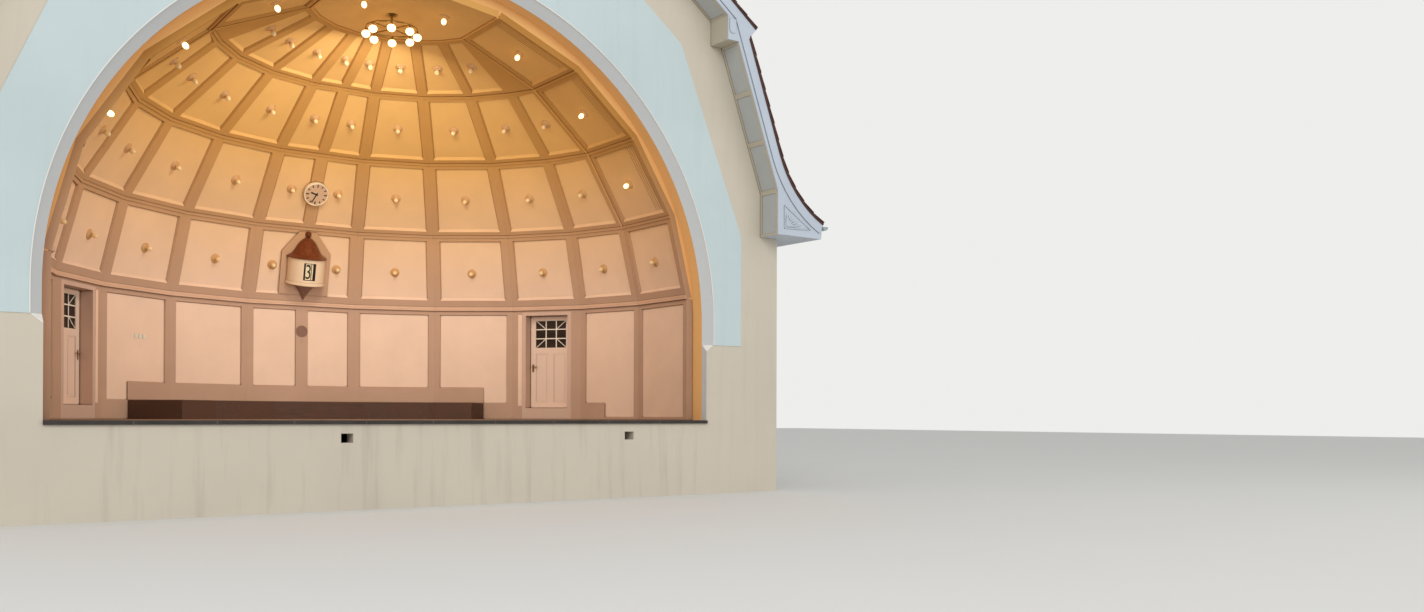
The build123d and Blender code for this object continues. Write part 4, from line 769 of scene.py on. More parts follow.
def reliefs(finish):
    """Leaf panels on the eaves boxes and tongues on the brackets, at both ends."""
    shape = bmesh.new()
    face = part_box("bargeboards")[0].y + BOARD_FACE
    corners = [Vector((x, face, z)) for x, z in RELIEF_CORNERS]
    half = RELIEF_FRAME / 2
    for a, b in zip(corners, corners[1:] + corners[:1]):
        add_block(shape, (0, -half, 0), ((b - a).length, half, RELIEF_RISE),
                  placing(a, b - a, OUTWARD))
    for angle, length in LEAVES:
        way = Vector((math.cos(math.radians(angle)), 0, math.sin(math.radians(angle))))
        add_swelling(shape, corners[2] + LEAF_ROOT + way * length / 2, way,
                     length / 2, LEAF_HALF_WIDTH)
    for x, z in KNOTS:
        add_swelling(shape, corners[2] + Vector((x, 0, z)), RIGHT, KNOT_RADIUS, KNOT_RADIUS)
    low, high = TONGUE_HEIGHTS
    half = (TONGUE_SPAN[1] - TONGUE_SPAN[0]) / 2
    middle = (TONGUE_SPAN[0] + TONGUE_SPAN[1]) / 2
    add_block(shape, (middle - half, face - RELIEF_RISE, low + half), (middle + half, face, high))
    add_turned(shape, [(0, 0), (half, 0), (half, RELIEF_RISE), (0, RELIEF_RISE)],
               placing(Vector((middle, face, low + half)), -RIGHT, OUTWARD), 12, HALF_TURN)
    tidied(shape)
    for mirror in (Matrix.Diagonal((-1, 1, 1, 1)), Matrix.Diagonal((1, -1, 1, 1))):
        made = bmesh.ops.duplicate(shape, geom=shape.verts[:] + shape.edges[:] + shape.faces[:])
        bmesh.ops.transform(shape, matrix=mirror, verts=new_verts(made))
    piece("verge_reliefs", tidied(shape), finish, smooth=True)


def hooks(look, finish):
    """Flat iron hooks below the gutters."""
    low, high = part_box("gutters")
    outer = high.z - low.z
    inner, half = outer - 1 * MM, HOOK_HALF_WIDTH
    profile = [(inner, -half), (outer, -half), (outer, half), (inner, half), (inner, -half)]
    count = round((high.y - low.y) / look.hook_spacing)
    shape = bmesh.new()
    for side in (1, -1):
        for k in range(count + 1):
            y = low.y + HOOK_MARGIN + (high.y - low.y - 2 * HOOK_MARGIN) * k / count
            centre = Vector((side * (high.x - outer), y, high.z))
            add_turned(shape, profile, placing(centre, RIGHT, INWARD), 16, HALF_TURN)
    piece("gutter_hooks", tidied(shape), finish)


# Half dome

SMALLEST_COFFER = 0.05
SMALLEST_FIELD = 0.3
FIELD_THICKNESS = 3 * MM
# How much lighter the rolls and the main cornice are than the ribs: a painted highlight on the
# raised mouldings
ROLL_HIGHLIGHT = 1.3
SILL_WIDTH = 52 * MM
SILL_DEPTH = 42 * MM
SILL_FLARE = 24 * MM
JAMB_STRIP_WIDTH = 100 * MM
JAMB_STRIP_GAP = 4 * MM
JAMB_STRIP_HEAD = 48 * MM
JAMB_STRIP_FOOT = 300 * MM
FRONT_BAY_DEPTH = 0.5
FRONT_LINES = (40 * MM, 105 * MM, 170 * MM, 235 * MM)
FRONT_LINE_WIDTH = 14 * MM
FRONT_LINE_RISE = 3 * MM
FRONT_LINE_END = 20 * MM


class BANDSHELL_OT_half_dome(bpy.types.Operator):
    """Paint the ribs and coffers of the half dome and set its mouldings"""
    bl_idname = "bandshell.half_dome"
    bl_label = "Half dome"

    def execute(self, context):
        look = context.scene.band_shell_paint
        ribs, fields, edges = (
            distempered_plaster("distempered_plaster_" + name, low, high) for name, low, high in (
                ("ribs", look.rib_low, look.rib_high),
                ("fields", look.field_low, look.field_high),
                ("rolls", shade(look.rib_low, ROLL_HIGHLIGHT), shade(look.rib_high, ROLL_HIGHLIGHT))))
        paint(ribs, *VAULT_NODES, *WALL_NODES)
        paint(fields, "vault_crown")
        # The rolls and the main cornice take the rib paint made lighter, as a painted highlight
        paint(edges, "vault_rolls", "main_cornice")
        coffers, lines, walls = bmesh.new(), bmesh.new(), bmesh.new()
        for name in VAULT_NODES:
            sunk = [flat for flat in flats(name) if flat.sunk and flat.area > SMALLEST_COFFER]
            for flat in sunk:
                add_plate(coffers, flat.corners, flat.normal, FIELD_THICKNESS)
                # Each coffer's sloping foot gets the lighter field paint as a painted highlight
                lit_sill(coffers, flat)
            if name == "vault_fronts":
                front_lines(lines, sunk)
        for name in WALL_NODES:
            for flat in flats(name):
                if flat.sunk and flat.area > SMALLEST_FIELD and abs(flat.normal.z) < 0.1:
                    add_plate(walls, flat.corners, flat.normal, FIELD_THICKNESS)
        jamb_strips(walls)
        piece("coffer_fields", coffers, fields)
        piece("front_bay_lines", lines, ribs)
        piece("wall_fields", walls, fields)
        return {"FINISHED"}


def jamb_strips(shape):
    """Narrow field beside each stage door, on the side toward the middle of the stage."""
    for flat in flats("shell_wall_doors"):
        if len(flat.corners) != 8 or flat.normal.y > -0.3:
            continue
        along = flat.level() * (1 if flat.centre.x > 0 else -1)
        inner = sorted(flat.corners, key=lambda corner: corner.dot(along))
        jamb = next(corner for corner in inner if corner.dot(along) > inner[0].dot(along) + 0.02)
        head = sorted(corner.z for corner in flat.corners)[-3] - JAMB_STRIP_HEAD
        foot = STAGE_LEVEL + JAMB_STRIP_FOOT
        near, far = jamb - along * JAMB_STRIP_GAP, jamb - along * JAMB_STRIP_WIDTH
        corners = [Vector((spot.x, spot.y, z)) for spot, z in
                   ((near, foot), (far, foot), (far, head), (near, head))]
        add_plate(shape, corners, flat.normal, FIELD_THICKNESS)


def lit_sill(shape, flat):
    """Sloping foot of a coffer, in the lighter paint of its field as a painted highlight where
    light from above falls on it.
    """
    low = sorted(flat.corners, key=lambda corner: (corner - flat.centre).dot(flat.upright()))[:2]
    left, right = sorted(low, key=lambda corner: corner.dot(flat.level()))
    along = (right - left).normalized()
    fall = flat.normal * SILL_DEPTH - flat.upright() * SILL_WIDTH
    corners = [left, right, right + fall + along * SILL_FLARE, left + fall - along * SILL_FLARE]
    out = along.cross(fall).normalized()
    add_plate(shape, corners, -out if out.dot(flat.normal) < 0 else out, FIELD_THICKNESS)


def front_lines(shape, sunk):
    """Fine raised lines beside the arch in the upper coffers of the front bay."""
    nearest = min(flat.centre.y for flat in sunk)
    half = FRONT_LINE_WIDTH / 2
    for flat in sunk:
        if flat.centre.y > nearest + FRONT_BAY_DEPTH or flat.centre.z < UPPER_COFFERS:
            continue
        middle = sum(corner.y for corner in flat.corners) / len(flat.corners)
        edge = sorted((corner for corner in flat.corners if corner.y < middle), key=lambda c: c.z)
        if len(edge) != 2:
            continue
        low, high = edge
        inward = flat.normal.cross(high - low).normalized()
        if inward.y < 0:
            inward = -inward
        for distance in FRONT_LINES:
            start = low + inward * distance + flat.normal * FIELD_THICKNESS
            add_block(shape, (FRONT_LINE_END, -half, 0),
                      ((high - low).length - FRONT_LINE_END, half, FRONT_LINE_RISE),
                      placing(start, high - low, flat.normal))


# Lamps of the half dome

GLOBE_STRETCH = 1.25
GLOBE_NECK = 48 * MM
GLOBE_SINK = 0.86
CROWN_TUBE = 14.4 * MM
CROWN_GLOBE = 75 * MM
CROWN_COUNT = 8
CROWN_DROP = 190 * MM
SPOKE_HALF = 9 * MM


def globe(radius):
    """A globe on its neck, from the rose outward."""
    centre = GLOBE_NECK + GLOBE_STRETCH * GLOBE_SINK * radius
    foot = GLOBE_NECK - 4 * MM
    profile = [(0, foot), (0.5 * radius, foot), (0.5 * radius, GLOBE_NECK)]
    return turned_pattern(profile + arc(radius, centre, -58, 148, 9, GLOBE_STRETCH), 16)


class BANDSHELL_OT_vault_lamps(bpy.types.Operator):
    """Set a glazed rose and an opal globe in each coffer"""
    bl_idname = "bandshell.vault_lamps"
    bl_label = "Vault lamps"

    def execute(self, context):
        look = context.scene.band_shell_lamps
        bases = [flat for flat in flats("vault_lamps") if len(flat.corners) == 8]
        bases = [flat for flat in bases if flat.area > 0.9 * bases[0].area]
        places = [placing(flat.centre, flat.level(), -flat.normal) for flat in bases]
        r = look.rose_radius
        rose = turned_pattern([(0, 0), (r, 0), (r, 7 * MM), (0.92 * r, 14 * MM),
                               (0.55 * r, 30 * MM), (0.42 * r, 44 * MM), (0.34 * r, 50 * MM),
                               (0, 50 * MM)], 20)
        piece("lamp_roses", repeat(bmesh.new(), rose, places),
              enamel("glazed_ceramic_roses", look.rose, 0.3),
              replaces=["vault_lamps"], smooth=True)
        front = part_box("front_piers")[1].y + look.lit_below
        lit = [place for place in places
               if place.translation.y < front and place.translation.z > UPPER_COFFERS]
        dark = [place for place in places if place not in lit]
        for name, group, finish in (
                ("lamp_globes", dark, opal_glass("opal_glass_globes", look.globe)),
                ("lamp_globes_lit", lit, opal_glass("opal_glass_lit", look.burning, look.glow))):
            piece(name, repeat(bmesh.new(), globe(look.globe_radius), group), finish,
                  smooth=True)
        return {"FINISHED"}


class BANDSHELL_OT_crown_lamps(bpy.types.Operator):
    """Hang the ring of globes below the crown"""
    bl_idname = "bandshell.crown_lamps"
    bl_label = "Crown lamps"

    def execute(self, context):
        look = context.scene.band_shell_lamps
        low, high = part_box("crown_lamps")
        reach = (high.x - low.x) / 2 - CROWN_GLOBE
        reach /= math.cos(math.pi / CROWN_COUNT)
        hub = Vector((0, (low.y + high.y) / 2, low.z + CROWN_DROP))
        drop = high.z - hub.z
        tube = [(reach + CROWN_TUBE * math.cos(WHOLE_TURN * k / 10),
                 CROWN_TUBE * math.sin(WHOLE_TURN * k / 10)) for k in range(10)]
        ring, globes = bmesh.new(), bmesh.new()
        add_turned(ring, tube + tube[:1], Matrix.Translation(hub), 64)
        add_turned(ring, [(0, 0), (20 * MM, 0), (20 * MM, drop - 40 * MM),
                          (60 * MM, drop - 30 * MM), (105 * MM, drop - 4 * MM), (105 * MM, drop),
                          (0, drop)], Matrix.Translation(hub), 24)
        neck = -74 * MM
        ball = [(0, neck), (0.45 * CROWN_GLOBE, neck)]
        ball += arc(CROWN_GLOBE, -120 * MM, 52, -142, 8, 0.9)
        for k in range(CROWN_COUNT):
            angle = WHOLE_TURN * (k + 0.5) / CROWN_COUNT
            spoke = Vector((math.cos(angle), math.sin(angle), 0))
            if k % 2 == 0:
                add_block(ring, (0, -SPOKE_HALF, -SPOKE_HALF), (reach, SPOKE_HALF, SPOKE_HALF),
                          placing(hub, spoke, UP))
            hang = Matrix.Translation(hub + spoke * reach)
            add_turned(ring, [(0, 0), (16 * MM, 0), (16 * MM, -45 * MM), (36 * MM, -60 * MM),
                              (36 * MM, -78 * MM), (0, -78 * MM)], hang, 16)
            add_turned(globes, ball, hang, 20)
        piece("crown_ring", tidied(ring),
              turned_metal("turned_brass_ring", context.scene.band_shell_fittings.brass, 0.35),
              replaces=["crown_lamps"], smooth=True)
        piece("crown_globes", tidied(globes),
              opal_glass("opal_glass_crown", look.burning, look.glow), smooth=True)
        return {"FINISHED"}


# Clock

CLOCK_RIM = 24 * MM
DIAL_FACE = 79 * MM
MARK_INSET = 34 * MM
HOUR_HAND, MINUTE_HAND = 287, 201  # degrees from twelve


class BANDSHELL_OT_clock(bpy.types.Operator):
    """Make the round clock on the middle rib"""
    bl_idname = "bandshell.clock"
    bl_label = "Clock"

    def execute(self, context):
        look = context.scene.band_shell_fittings
        back = min(flats("clock")[:4], key=lambda flat: flat.normal.dot(Vector((0, -1, -0.6))))
        place = placing(back.centre, -back.level(), -back.normal)
        radius = max((corner - back.centre).length for corner in back.corners)
        inside = radius - CLOCK_RIM
        case, dial, marks = bmesh.new(), bmesh.new(), bmesh.new()
        add_turned(case, [(0, 0), (radius - 8 * MM, 0), (radius, 10 * MM), (radius, 76 * MM),
                          (radius - 8 * MM, 88 * MM), (radius - 18 * MM, 88 * MM),
                          (inside, 78 * MM), (0, 78 * MM)], place, 48)
        low, high = DIAL_FACE - 4 * MM, DIAL_FACE + 1 * MM
        add_turned(dial, [(0, low), (inside, low), (inside, high), (0, high)], place, 48)
        rim = radius - MARK_INSET
        for minute in range(0, 60, 5):
            length, half = (64 * MM, 13 * MM) if minute % 15 == 0 else (52 * MM, 11 * MM)
            add_block(marks, (-half, rim - length, DIAL_FACE), (half, rim, DIAL_FACE + 2.5 * MM),
                      place @ Matrix.Rotation(-math.radians(6 * minute), 4, "Z"))
        for angle, length, tail, half, level in ((HOUR_HAND, 0.50, 0.14, 15 * MM, 5 * MM),
                                                 (MINUTE_HAND, 0.76, 0.18, 11 * MM, 8 * MM)):
            level += DIAL_FACE
            add_block(marks, (-half, -tail * radius, level),
                      (half, length * radius, level + 2 * MM),
                      place @ Matrix.Rotation(-math.radians(angle), 4, "Z"))
        add_turned(marks, [(0, DIAL_FACE), (14 * MM, DIAL_FACE), (14 * MM, DIAL_FACE + 12 * MM),
                           (0, DIAL_FACE + 13 * MM)], place, 20)
        piece("clock_case", tidied(case), enamel("stove_enamel_case", look.case),
              replaces=["clock"], smooth=True)
        piece("clock_dial", tidied(dial), enamel("matt_enamel_dial", look.dial, 0.6))
        piece("clock_hands", tidied(marks), enamel("black_enamel_marks", look.ink, 0.4))
        return {"FINISHED"}


# Programme box. Feet and tops without a unit are shares of the board's slant. The bell's curve
# is in shares of its eave and height, and the pendant's is its radius and drop in millimetres.

DRUM_RADIUS = 387 * MM
DRUM_SKIN = DRUM_RADIUS + 2 * MM
DRUM_WALL = 60 * MM
DRUM_FOOT, DRUM_TOP = 0.30, 0.63
DRUM_LIFT = 30 * MM
BAND_RISE = 8 * MM
BELL_TOP = 0.895
BELL_EAVE = DRUM_RADIUS + 32 * MM
BELL_CURVE = ((0, 0), (1.0, 0), (1.0, 0.045), (0.94, 0.07), (0.84, 0.115), (0.75, 0.18),
              (0.67, 0.28), (0.60, 0.40), (0.53, 0.53), (0.45, 0.66), (0.36, 0.77), (0.26, 0.86),
              (0.16, 0.93), (0.06, 1.0), (0, 1.0))
BALL_RADIUS = 66 * MM
BALL_SINK = 12 * MM
BOARD_FOOT, BOARD_SHOULDER, BOARD_TOP = 0.209, 0.693, 0.955
BOARD_DROP = 105 * MM
BOARD_HALF_WIDTH, BOARD_TOP_HALF_WIDTH = 517 * MM, 185 * MM
BOX_BOARD = 24 * MM
WINDOW_CENTRE = -25 * MM
WINDOW_HALF_WIDTH = 122 * MM
WINDOW_MARGIN = 75 * MM
WINDOW_LAP = 12 * MM
CARD_SET_BACK = 45 * MM
CARD_MARGIN = 14 * MM
CARD_SPANS = ((-78 * MM, 34 * MM), (50 * MM, 74 * MM))
CARD_THICKNESS = 2 * MM
NUMBER = "3"
NUMBER_SHARE = 0.9
SHELF_DROP = 45 * MM
SHELF_LIP = DRUM_RADIUS + 18 * MM
PENDANT = ((0, 352), (9, 345), (44, 268), (88, 192), (128, 125), (190, 52), (290, 0), (290, -3))


class BANDSHELL_OT_programme_box(bpy.types.Operator):
    """Finish the programme box: drum, window with a plain number, copper roof and pendant"""
    bl_idname = "bandshell.programme_box"
    bl_label = "Programme box"

    def execute(self, context):
        look, walls = context.scene.band_shell_fittings, context.scene.band_shell_paint
        back = flats("programme_box")[0]
        corners = sorted(back.corners, key=lambda corner: corner.z)
        foot, head = (corners[0] + corners[1]) / 2, (corners[-1] + corners[-2]) / 2
        up, out = (head - foot).normalized(), -back.normal
        slant = (head - foot).length / (BOARD_TOP - BOARD_FOOT)
        origin = foot - up * BOARD_FOOT * slant + out * BOX_BOARD
        axis = placing(origin, up.cross(out).normalized(), up)
        place = axis @ Matrix.Rotation(HALF_TURN, 4, "Z")
        cream = painted_board("painted_board_drum", look.drum, roughness=0.5)
        low, high = DRUM_FOOT * slant + DRUM_LIFT, DRUM_TOP * slant
        plaster = distempered_plaster("distempered_board", walls.rib_low, walls.rib_high)
        backing_board(plaster, axis, slant)
        drum(cream, place, low, high)
        shelf = [(0, low - SHELF_DROP - 2 * MM), (SHELF_LIP - 10 * MM, low - SHELF_DROP - 2 * MM),
                 (SHELF_LIP + 1 * MM, low - SHELF_DROP + 8 * MM),
                 (SHELF_LIP + 1 * MM, low - 8 * MM), (SHELF_LIP - 8 * MM, low + 2 * MM),
                 (DRUM_RADIUS - 4 * MM, low + 2 * MM)]
        pendant = [(radius * MM, low - SHELF_DROP - drop * MM) for radius, drop in PENDANT]
        rise = BELL_TOP * slant - high
        bell = [(BELL_EAVE * radius, high + rise * height) for radius, height in BELL_CURVE]
        ball = arc(BALL_RADIUS, high + rise + BALL_RADIUS - BALL_SINK, -90, 180, 11)
        copper = aged_copper("browned_copper_roof", look.copper)
        brown = painted_board("stained_wood_pendant", linear("#7E5747"))
        for name, profiles, finish, slot, replaces in (
                ("shelf", ((shelf, 30),), cream, "white_board", ()),
                ("pendant", ((pendant, 24),), brown, "white_board", ()),
                ("roof", ((bell, 32), (ball, 16)), copper, "copper_sheet", ["programme_box_roof"])):
            shape = bmesh.new()
            for profile, steps in profiles:
                add_front_turned(shape, profile, place, steps)
            piece("programme_" + name, tidied(shape), finish, replaces=replaces, smooth=True)
        number_window(look, axis @ Matrix.Rotation(QUARTER, 4, "X"), low, high)
        return {"FINISHED"}


def add_front_turned(shape, profile, place, steps, start=-QUARTER, end=QUARTER):
    """Part of a turned body between two angles from straight ahead."""
    turn = place @ Matrix.Rotation(start + QUARTER, 4, "Z")
    add_turned(shape, profile, turn, steps, end - start)


def backing_board(finish, axis, slant):
    """Flat board behind the box, with a sloping head."""
    foot, shoulder, top = BOARD_FOOT * slant - BOARD_DROP, BOARD_SHOULDER * slant, BOARD_TOP * slant
    half, narrow = BOARD_HALF_WIDTH, BOARD_TOP_HALF_WIDTH
    corners = [axis @ Vector((x, BOX_BOARD, z)) for x, z in (
        (-half, foot), (half, foot), (half, shoulder), (narrow, top), (-narrow, top),
        (-half, shoulder))]
    shape = bmesh.new()
    add_plate(shape, corners, (axis.to_3x3() @ OUTWARD).normalized(), BOX_BOARD)
    piece("programme_board", tidied(shape), finish, replaces=["programme_box"])


def drum(finish, place, low, high):
    """Cream wall of the drum around its window, with two raised bands."""
    left, right = (math.asin((WINDOW_CENTRE + side * WINDOW_HALF_WIDTH) / DRUM_RADIUS)
                   for side in (-1, 1))
    inner = DRUM_SKIN - DRUM_WALL
    base, top = low + WINDOW_MARGIN, high - WINDOW_MARGIN
    shape = bmesh.new()
    for start, end, z0, z1 in ((-QUARTER, left, low, high), (right, QUARTER, low, high),
                               (left, right, low, base), (left, right, top, high)):
        profile = [(inner, z0), (DRUM_SKIN, z0), (DRUM_SKIN, z1), (inner, z1), (inner, z0)]
        add_front_turned(shape, profile, place, max(3, int((end - start) * 12)), start, end)
    outer = DRUM_SKIN + BAND_RISE
    for z0, z1 in ((high - 26 * MM, high - 4 * MM), (low + 2 * MM, low + 22 * MM)):
        add_front_turned(shape, [(DRUM_SKIN, z0), (outer, z0), (outer, z1), (DRUM_SKIN, z1)],
                         place, 30)
    piece("programme_drum", tidied(shape), finish, smooth=True)


def number_shape():
    """The number as a flat body of its own height and width."""
    text = bpy.data.curves.new("number", "FONT")
    text.body = NUMBER
    text.align_x, text.align_y = "CENTER", "CENTER"
    text.size = 1.0
    text.extrude = 1.5 * MM
    holder = bpy.data.objects.new("number", text)
    bpy.context.scene.collection.objects.link(holder)
    bpy.context.view_layer.update()
    mesh = bpy.data.meshes.new_from_object(
        holder.evaluated_get(bpy.context.evaluated_depsgraph_get()))
    bpy.data.objects.remove(holder)
    bpy.data.curves.remove(text)
    shape = bmesh.new()
    shape.from_mesh(mesh)
    bpy.data.meshes.remove(mesh)
    return shape


def number_window(look, toward, low, high):
    """Window with a plain number on a pale card, before a dark sheet that is painted shade inside
    the drum.
    """
    base, top = low + WINDOW_MARGIN, high - WINDOW_MARGIN
    depth = DRUM_RADIUS - CARD_SET_BACK
    front = depth + CARD_THICKNESS
    recess_shade, cards = bmesh.new(), bmesh.new()
    behind = WINDOW_HALF_WIDTH + WINDOW_LAP
    # A dark sheet behind the cards stands for the shade inside the drum: painted shade
    add_block(recess_shade, (WINDOW_CENTRE - behind, base - WINDOW_LAP, depth - 8 * MM),
              (WINDOW_CENTRE + behind, top + WINDOW_LAP, depth), toward)
    for first, last in CARD_SPANS:
        add_block(cards, (WINDOW_CENTRE + first, base + CARD_MARGIN, depth),
                  (WINDOW_CENTRE + last, top - CARD_MARGIN, front), toward)
    number = number_shape()
    spans = [[vert.co[k] for vert in number.verts] for k in range(2)]
    reach = [max(span) - min(span) for span in spans]
    middle = [(max(span) + min(span)) / 2 for span in spans]
    first, last = CARD_SPANS[0]
    size = Matrix.Diagonal((NUMBER_SHARE * (last - first) / reach[0],
                            NUMBER_SHARE * (top - base - 2 * CARD_MARGIN) / reach[1], 1, 1))
    centre = Matrix.Translation((WINDOW_CENTRE + (first + last) / 2, (base + top) / 2, front))
    back = Matrix.Translation((-middle[0], -middle[1], 0))
    bmesh.ops.transform(number, matrix=toward @ centre @ size @ back, verts=number.verts)
    piece("programme_recess_shade", recess_shade, enamel("painted_recess_shade", linear("#2A1712"), 0.7))
    piece("programme_cards", cards, enamel("white_card", linear("#D9C79C"), 0.7))
    piece("programme_number", tidied(number), enamel("black_number", look.ink, 0.7))


# Stage doors

BAR_FRONT = 14 * MM
BAR_BACK = -19 * MM
DIAGONAL_HALF_WIDTH = 7 * MM
DIAGONAL_SET_BACK = 2 * MM
SMALLEST_DOOR_PANEL = 0.05
MOULDING_WIDTH = 16 * MM
MOULDING_RISE = 6 * MM
RAISED_FIELD_INSET = 3.2 * MOULDING_WIDTH
RAISED_FIELD_RISE = 0.6 * MOULDING_RISE


class BANDSHELL_OT_stage_doors(bpy.types.Operator):
    """Paint both stage doors and set their glazing bars and panel mouldings"""
    bl_idname = "bandshell.stage_doors"
    bl_label = "Stage doors"

    def execute(self, context):
        look = context.scene.band_shell_fittings
        leaf_paint = painted_board("painted_joinery_leaf", look.door, roughness=0.5)
        paint(painted_board("painted_joinery_frame", look.door_frame, roughness=0.5), "door_frames")
        paint(turned_metal("galvanised_steel_hinges", look.steel, 0.4), "hinge_pins")
        brass = turned_metal("turned_brass_handles", look.brass, 0.32)
        glass = glass_painted_dark("float_glass_painted_dark", look.glass)
        bars_paint = painted_board("painted_glazing_bars", linear("#E9D9C2"), roughness=0.5)
        for side in ("right", "left"):
            body = side + "_stage_door"
            paint(leaf_paint, "door_leaf_" + side)
            paint(brass, "door_fittings_" + side)
            paint(glass, "door_glass_" + side)
            piece("glazing_bars_" + side, bars(flats("door_glass_" + side)[0], look.bar_width / 2),
                  bars_paint, body)
            piece("panel_mouldings_" + side, mouldings("door_leaf_" + side),
                  leaf_paint, body)
        return {"FINISHED"}


def bars(pane, half):
    """Nine panes, with a diagonal in each corner pane. Where bars cross, their faces differ."""
    place = pane.seat()
    width, height = pane.half_sizes()
    shape = bmesh.new()
    for sign in (-1, 1):
        x, y, side, end = sign * width / 3, sign * height / 3, sign * width, sign * height
        for x0, x1, y0, y1, set_back in ((x - half, x + half, -height, height, 0.0),
                                         (-width, width, y - half, y + half, 0.5),
                                         (side - half, side, -height, height, 1.0),
                                         (-width, width, end - half, end, 1.5)):
            add_block(shape, (x0, y0, BAR_BACK), (x1, y1, BAR_FRONT - set_back * MM), place)
        for other in (-1, 1):
            outer = Vector((side, other * height, 0))
            inner = Vector((x, other * height / 3, 0))
            add_block(shape, (0, -DIAGONAL_HALF_WIDTH, BAR_BACK + DIAGONAL_SET_BACK),
                      ((outer - inner).length, DIAGONAL_HALF_WIDTH, BAR_FRONT - DIAGONAL_SET_BACK),
                      place @ placing(inner, outer - inner, UP))
    return shape


def mouldings(node_name):
    """Raised moulding inside the edge of each sunk panel of a door, around a raised field."""
    shape = bmesh.new()
    w, inset = MOULDING_WIDTH, RAISED_FIELD_INSET
    for flat in flats(node_name):
        if not flat.sunk or flat.area < SMALLEST_DOOR_PANEL:
            continue
        place = flat.seat()
        x, y = flat.half_sizes()
        for sign in (-1, 1):
            near, far = sorted((sign * x, sign * (x - w)))
            add_block(shape, (near, -y, 0), (far, y, MOULDING_RISE), place)
            near, far = sorted((sign * y, sign * (y - w)))
            add_block(shape, (-x + w, near, 0), (x - w, far, MOULDING_RISE), place)
        add_block(shape, (-x + inset, -y + inset, 0),
                  (x - inset, y - inset, RAISED_FIELD_RISE), place)
    return shape


# Stage and small fittings of the lower wall

BOARD_SEED = 11
BOARD_END = 2.6
BOARD_LENGTHS = (3.2, 4.6)
FIRST_BOARD_SHIFT = 2.5
SHORTEST_BOARD = 0.05
BOARD_SHOWS = 2 * MM
BOARD_LIES = 20 * MM
BOARD_GAP = 3 * MM
COPING_STONES = 10
JOINT_HALF = 3 * MM
JOINT_RISE = 0.4 * MM
GRILLE_RIM = 18 * MM
GRILLE_SINK = 7 * MM
SCREW_DROPS = (62 * MM, 112 * MM)
SWITCH_HEIGHT = 1.574
SWITCH_START, SWITCH_SPACING = 0.25, 0.1
STAGE_MIDDLE = Vector((0, -1.5, 0))
SMALLEST_WALL = 0.5


class BANDSHELL_OT_stage_floor(bpy.types.Operator):
    """Lay the stage boards and finish the podium, the coping and the grille"""
    bl_idname = "bandshell.stage_floor"
    bl_label = "Stage"

    def execute(self, context):
        look = context.scene.band_shell_fittings
        pine = oiled_wood("oiled_pine_boards", look.boards)
        # The slab under the boards takes the board wood at half brightness: painted shade in the
        # gaps between the boards
        paint(oiled_wood("shaded_pine_slab", shade(look.boards, 0.5)), "stage_floor")
        paint(pine, "backstage_floor")
        paint(oiled_wood("varnished_pine_podium", look.podium), "podium")
        paint(dressed_stone("sawn_basalt_coping", look.coping), "stage_coping")
        boards(look.board_width, pine)
        joints()
        grille()
        switches()
        return {"FINISHED"}


def wall_planes():
    """The inner faces of the shell's wall that bound the stage, one for each direction."""
    planes = {}
    for name in WALL_NODES:
        for flat in flats(name):
            if abs(flat.normal.z) > 0.01 or flat.sunk or flat.width() < SMALLEST_WALL:
                continue
            inward = STAGE_MIDDLE - flat.centre
            if flat.normal.dot(Vector((inward.x, inward.y, 0)).normalized()) < 0.5:
                continue
            key = (round(flat.normal.x, 2), round(flat.normal.y, 2))
            reach = flat.normal.dot(flat.centre)
            if key not in planes or reach > planes[key][0]:
                planes[key] = (reach, flat)
    return [flat for reach, flat in planes.values()]


def boards(width, finish):
    """Boards along the stage, cut to the plan of the shell."""
    draw = random.Random(BOARD_SEED)
    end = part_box("stage_coping")[1]
    y, x_end = end.y + 1 * MM, end.x - 2 * MM
    shape = bmesh.new()
    while y < BOARD_END:
        x = -x_end - draw.uniform(0, FIRST_BOARD_SHIFT)
        while x < x_end:
            length = draw.uniform(*BOARD_LENGTHS)
            first, last = max(x, -x_end), min(x + length, x_end)
            if last - first > SHORTEST_BOARD:
                add_block(shape, (first + 1 * MM, y + BOARD_GAP / 2, STAGE_LEVEL - BOARD_LIES),
                          (last - 1 * MM, y + width - BOARD_GAP / 2, STAGE_LEVEL + BOARD_SHOWS))
            x += length
        y += width
    for flat in wall_planes():
        cut = bmesh.ops.bisect_plane(shape, geom=shape.verts[:] + shape.edges[:] + shape.faces[:],
                                     plane_co=flat.centre + flat.normal * 2 * MM,
                                     plane_no=flat.normal, clear_inner=True)
        rim = [item for item in cut["geom_cut"] if isinstance(item, bmesh.types.BMEdge)]
        bmesh.ops.holes_fill(shape, edges=rim, sides=8)
    bmesh.ops.recalc_face_normals(shape, faces=shape.faces)
    piece("stage_boards", shape, finish)


def joints():
    """Mortar joints between the coping stones."""
    low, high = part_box("stage_coping")
    shape = bmesh.new()
    for k in range(1, COPING_STONES):
        x = low.x + (high.x - low.x) * k / COPING_STONES
        add_block(shape, (x - JOINT_HALF, low.y - JOINT_RISE, low.z + 1 * MM),
                  (x + JOINT_HALF, high.y - 1 * MM, high.z + JOINT_RISE))
    piece("coping_joints", shape, painted_render("mortar_joints", linear("#7C766C")))


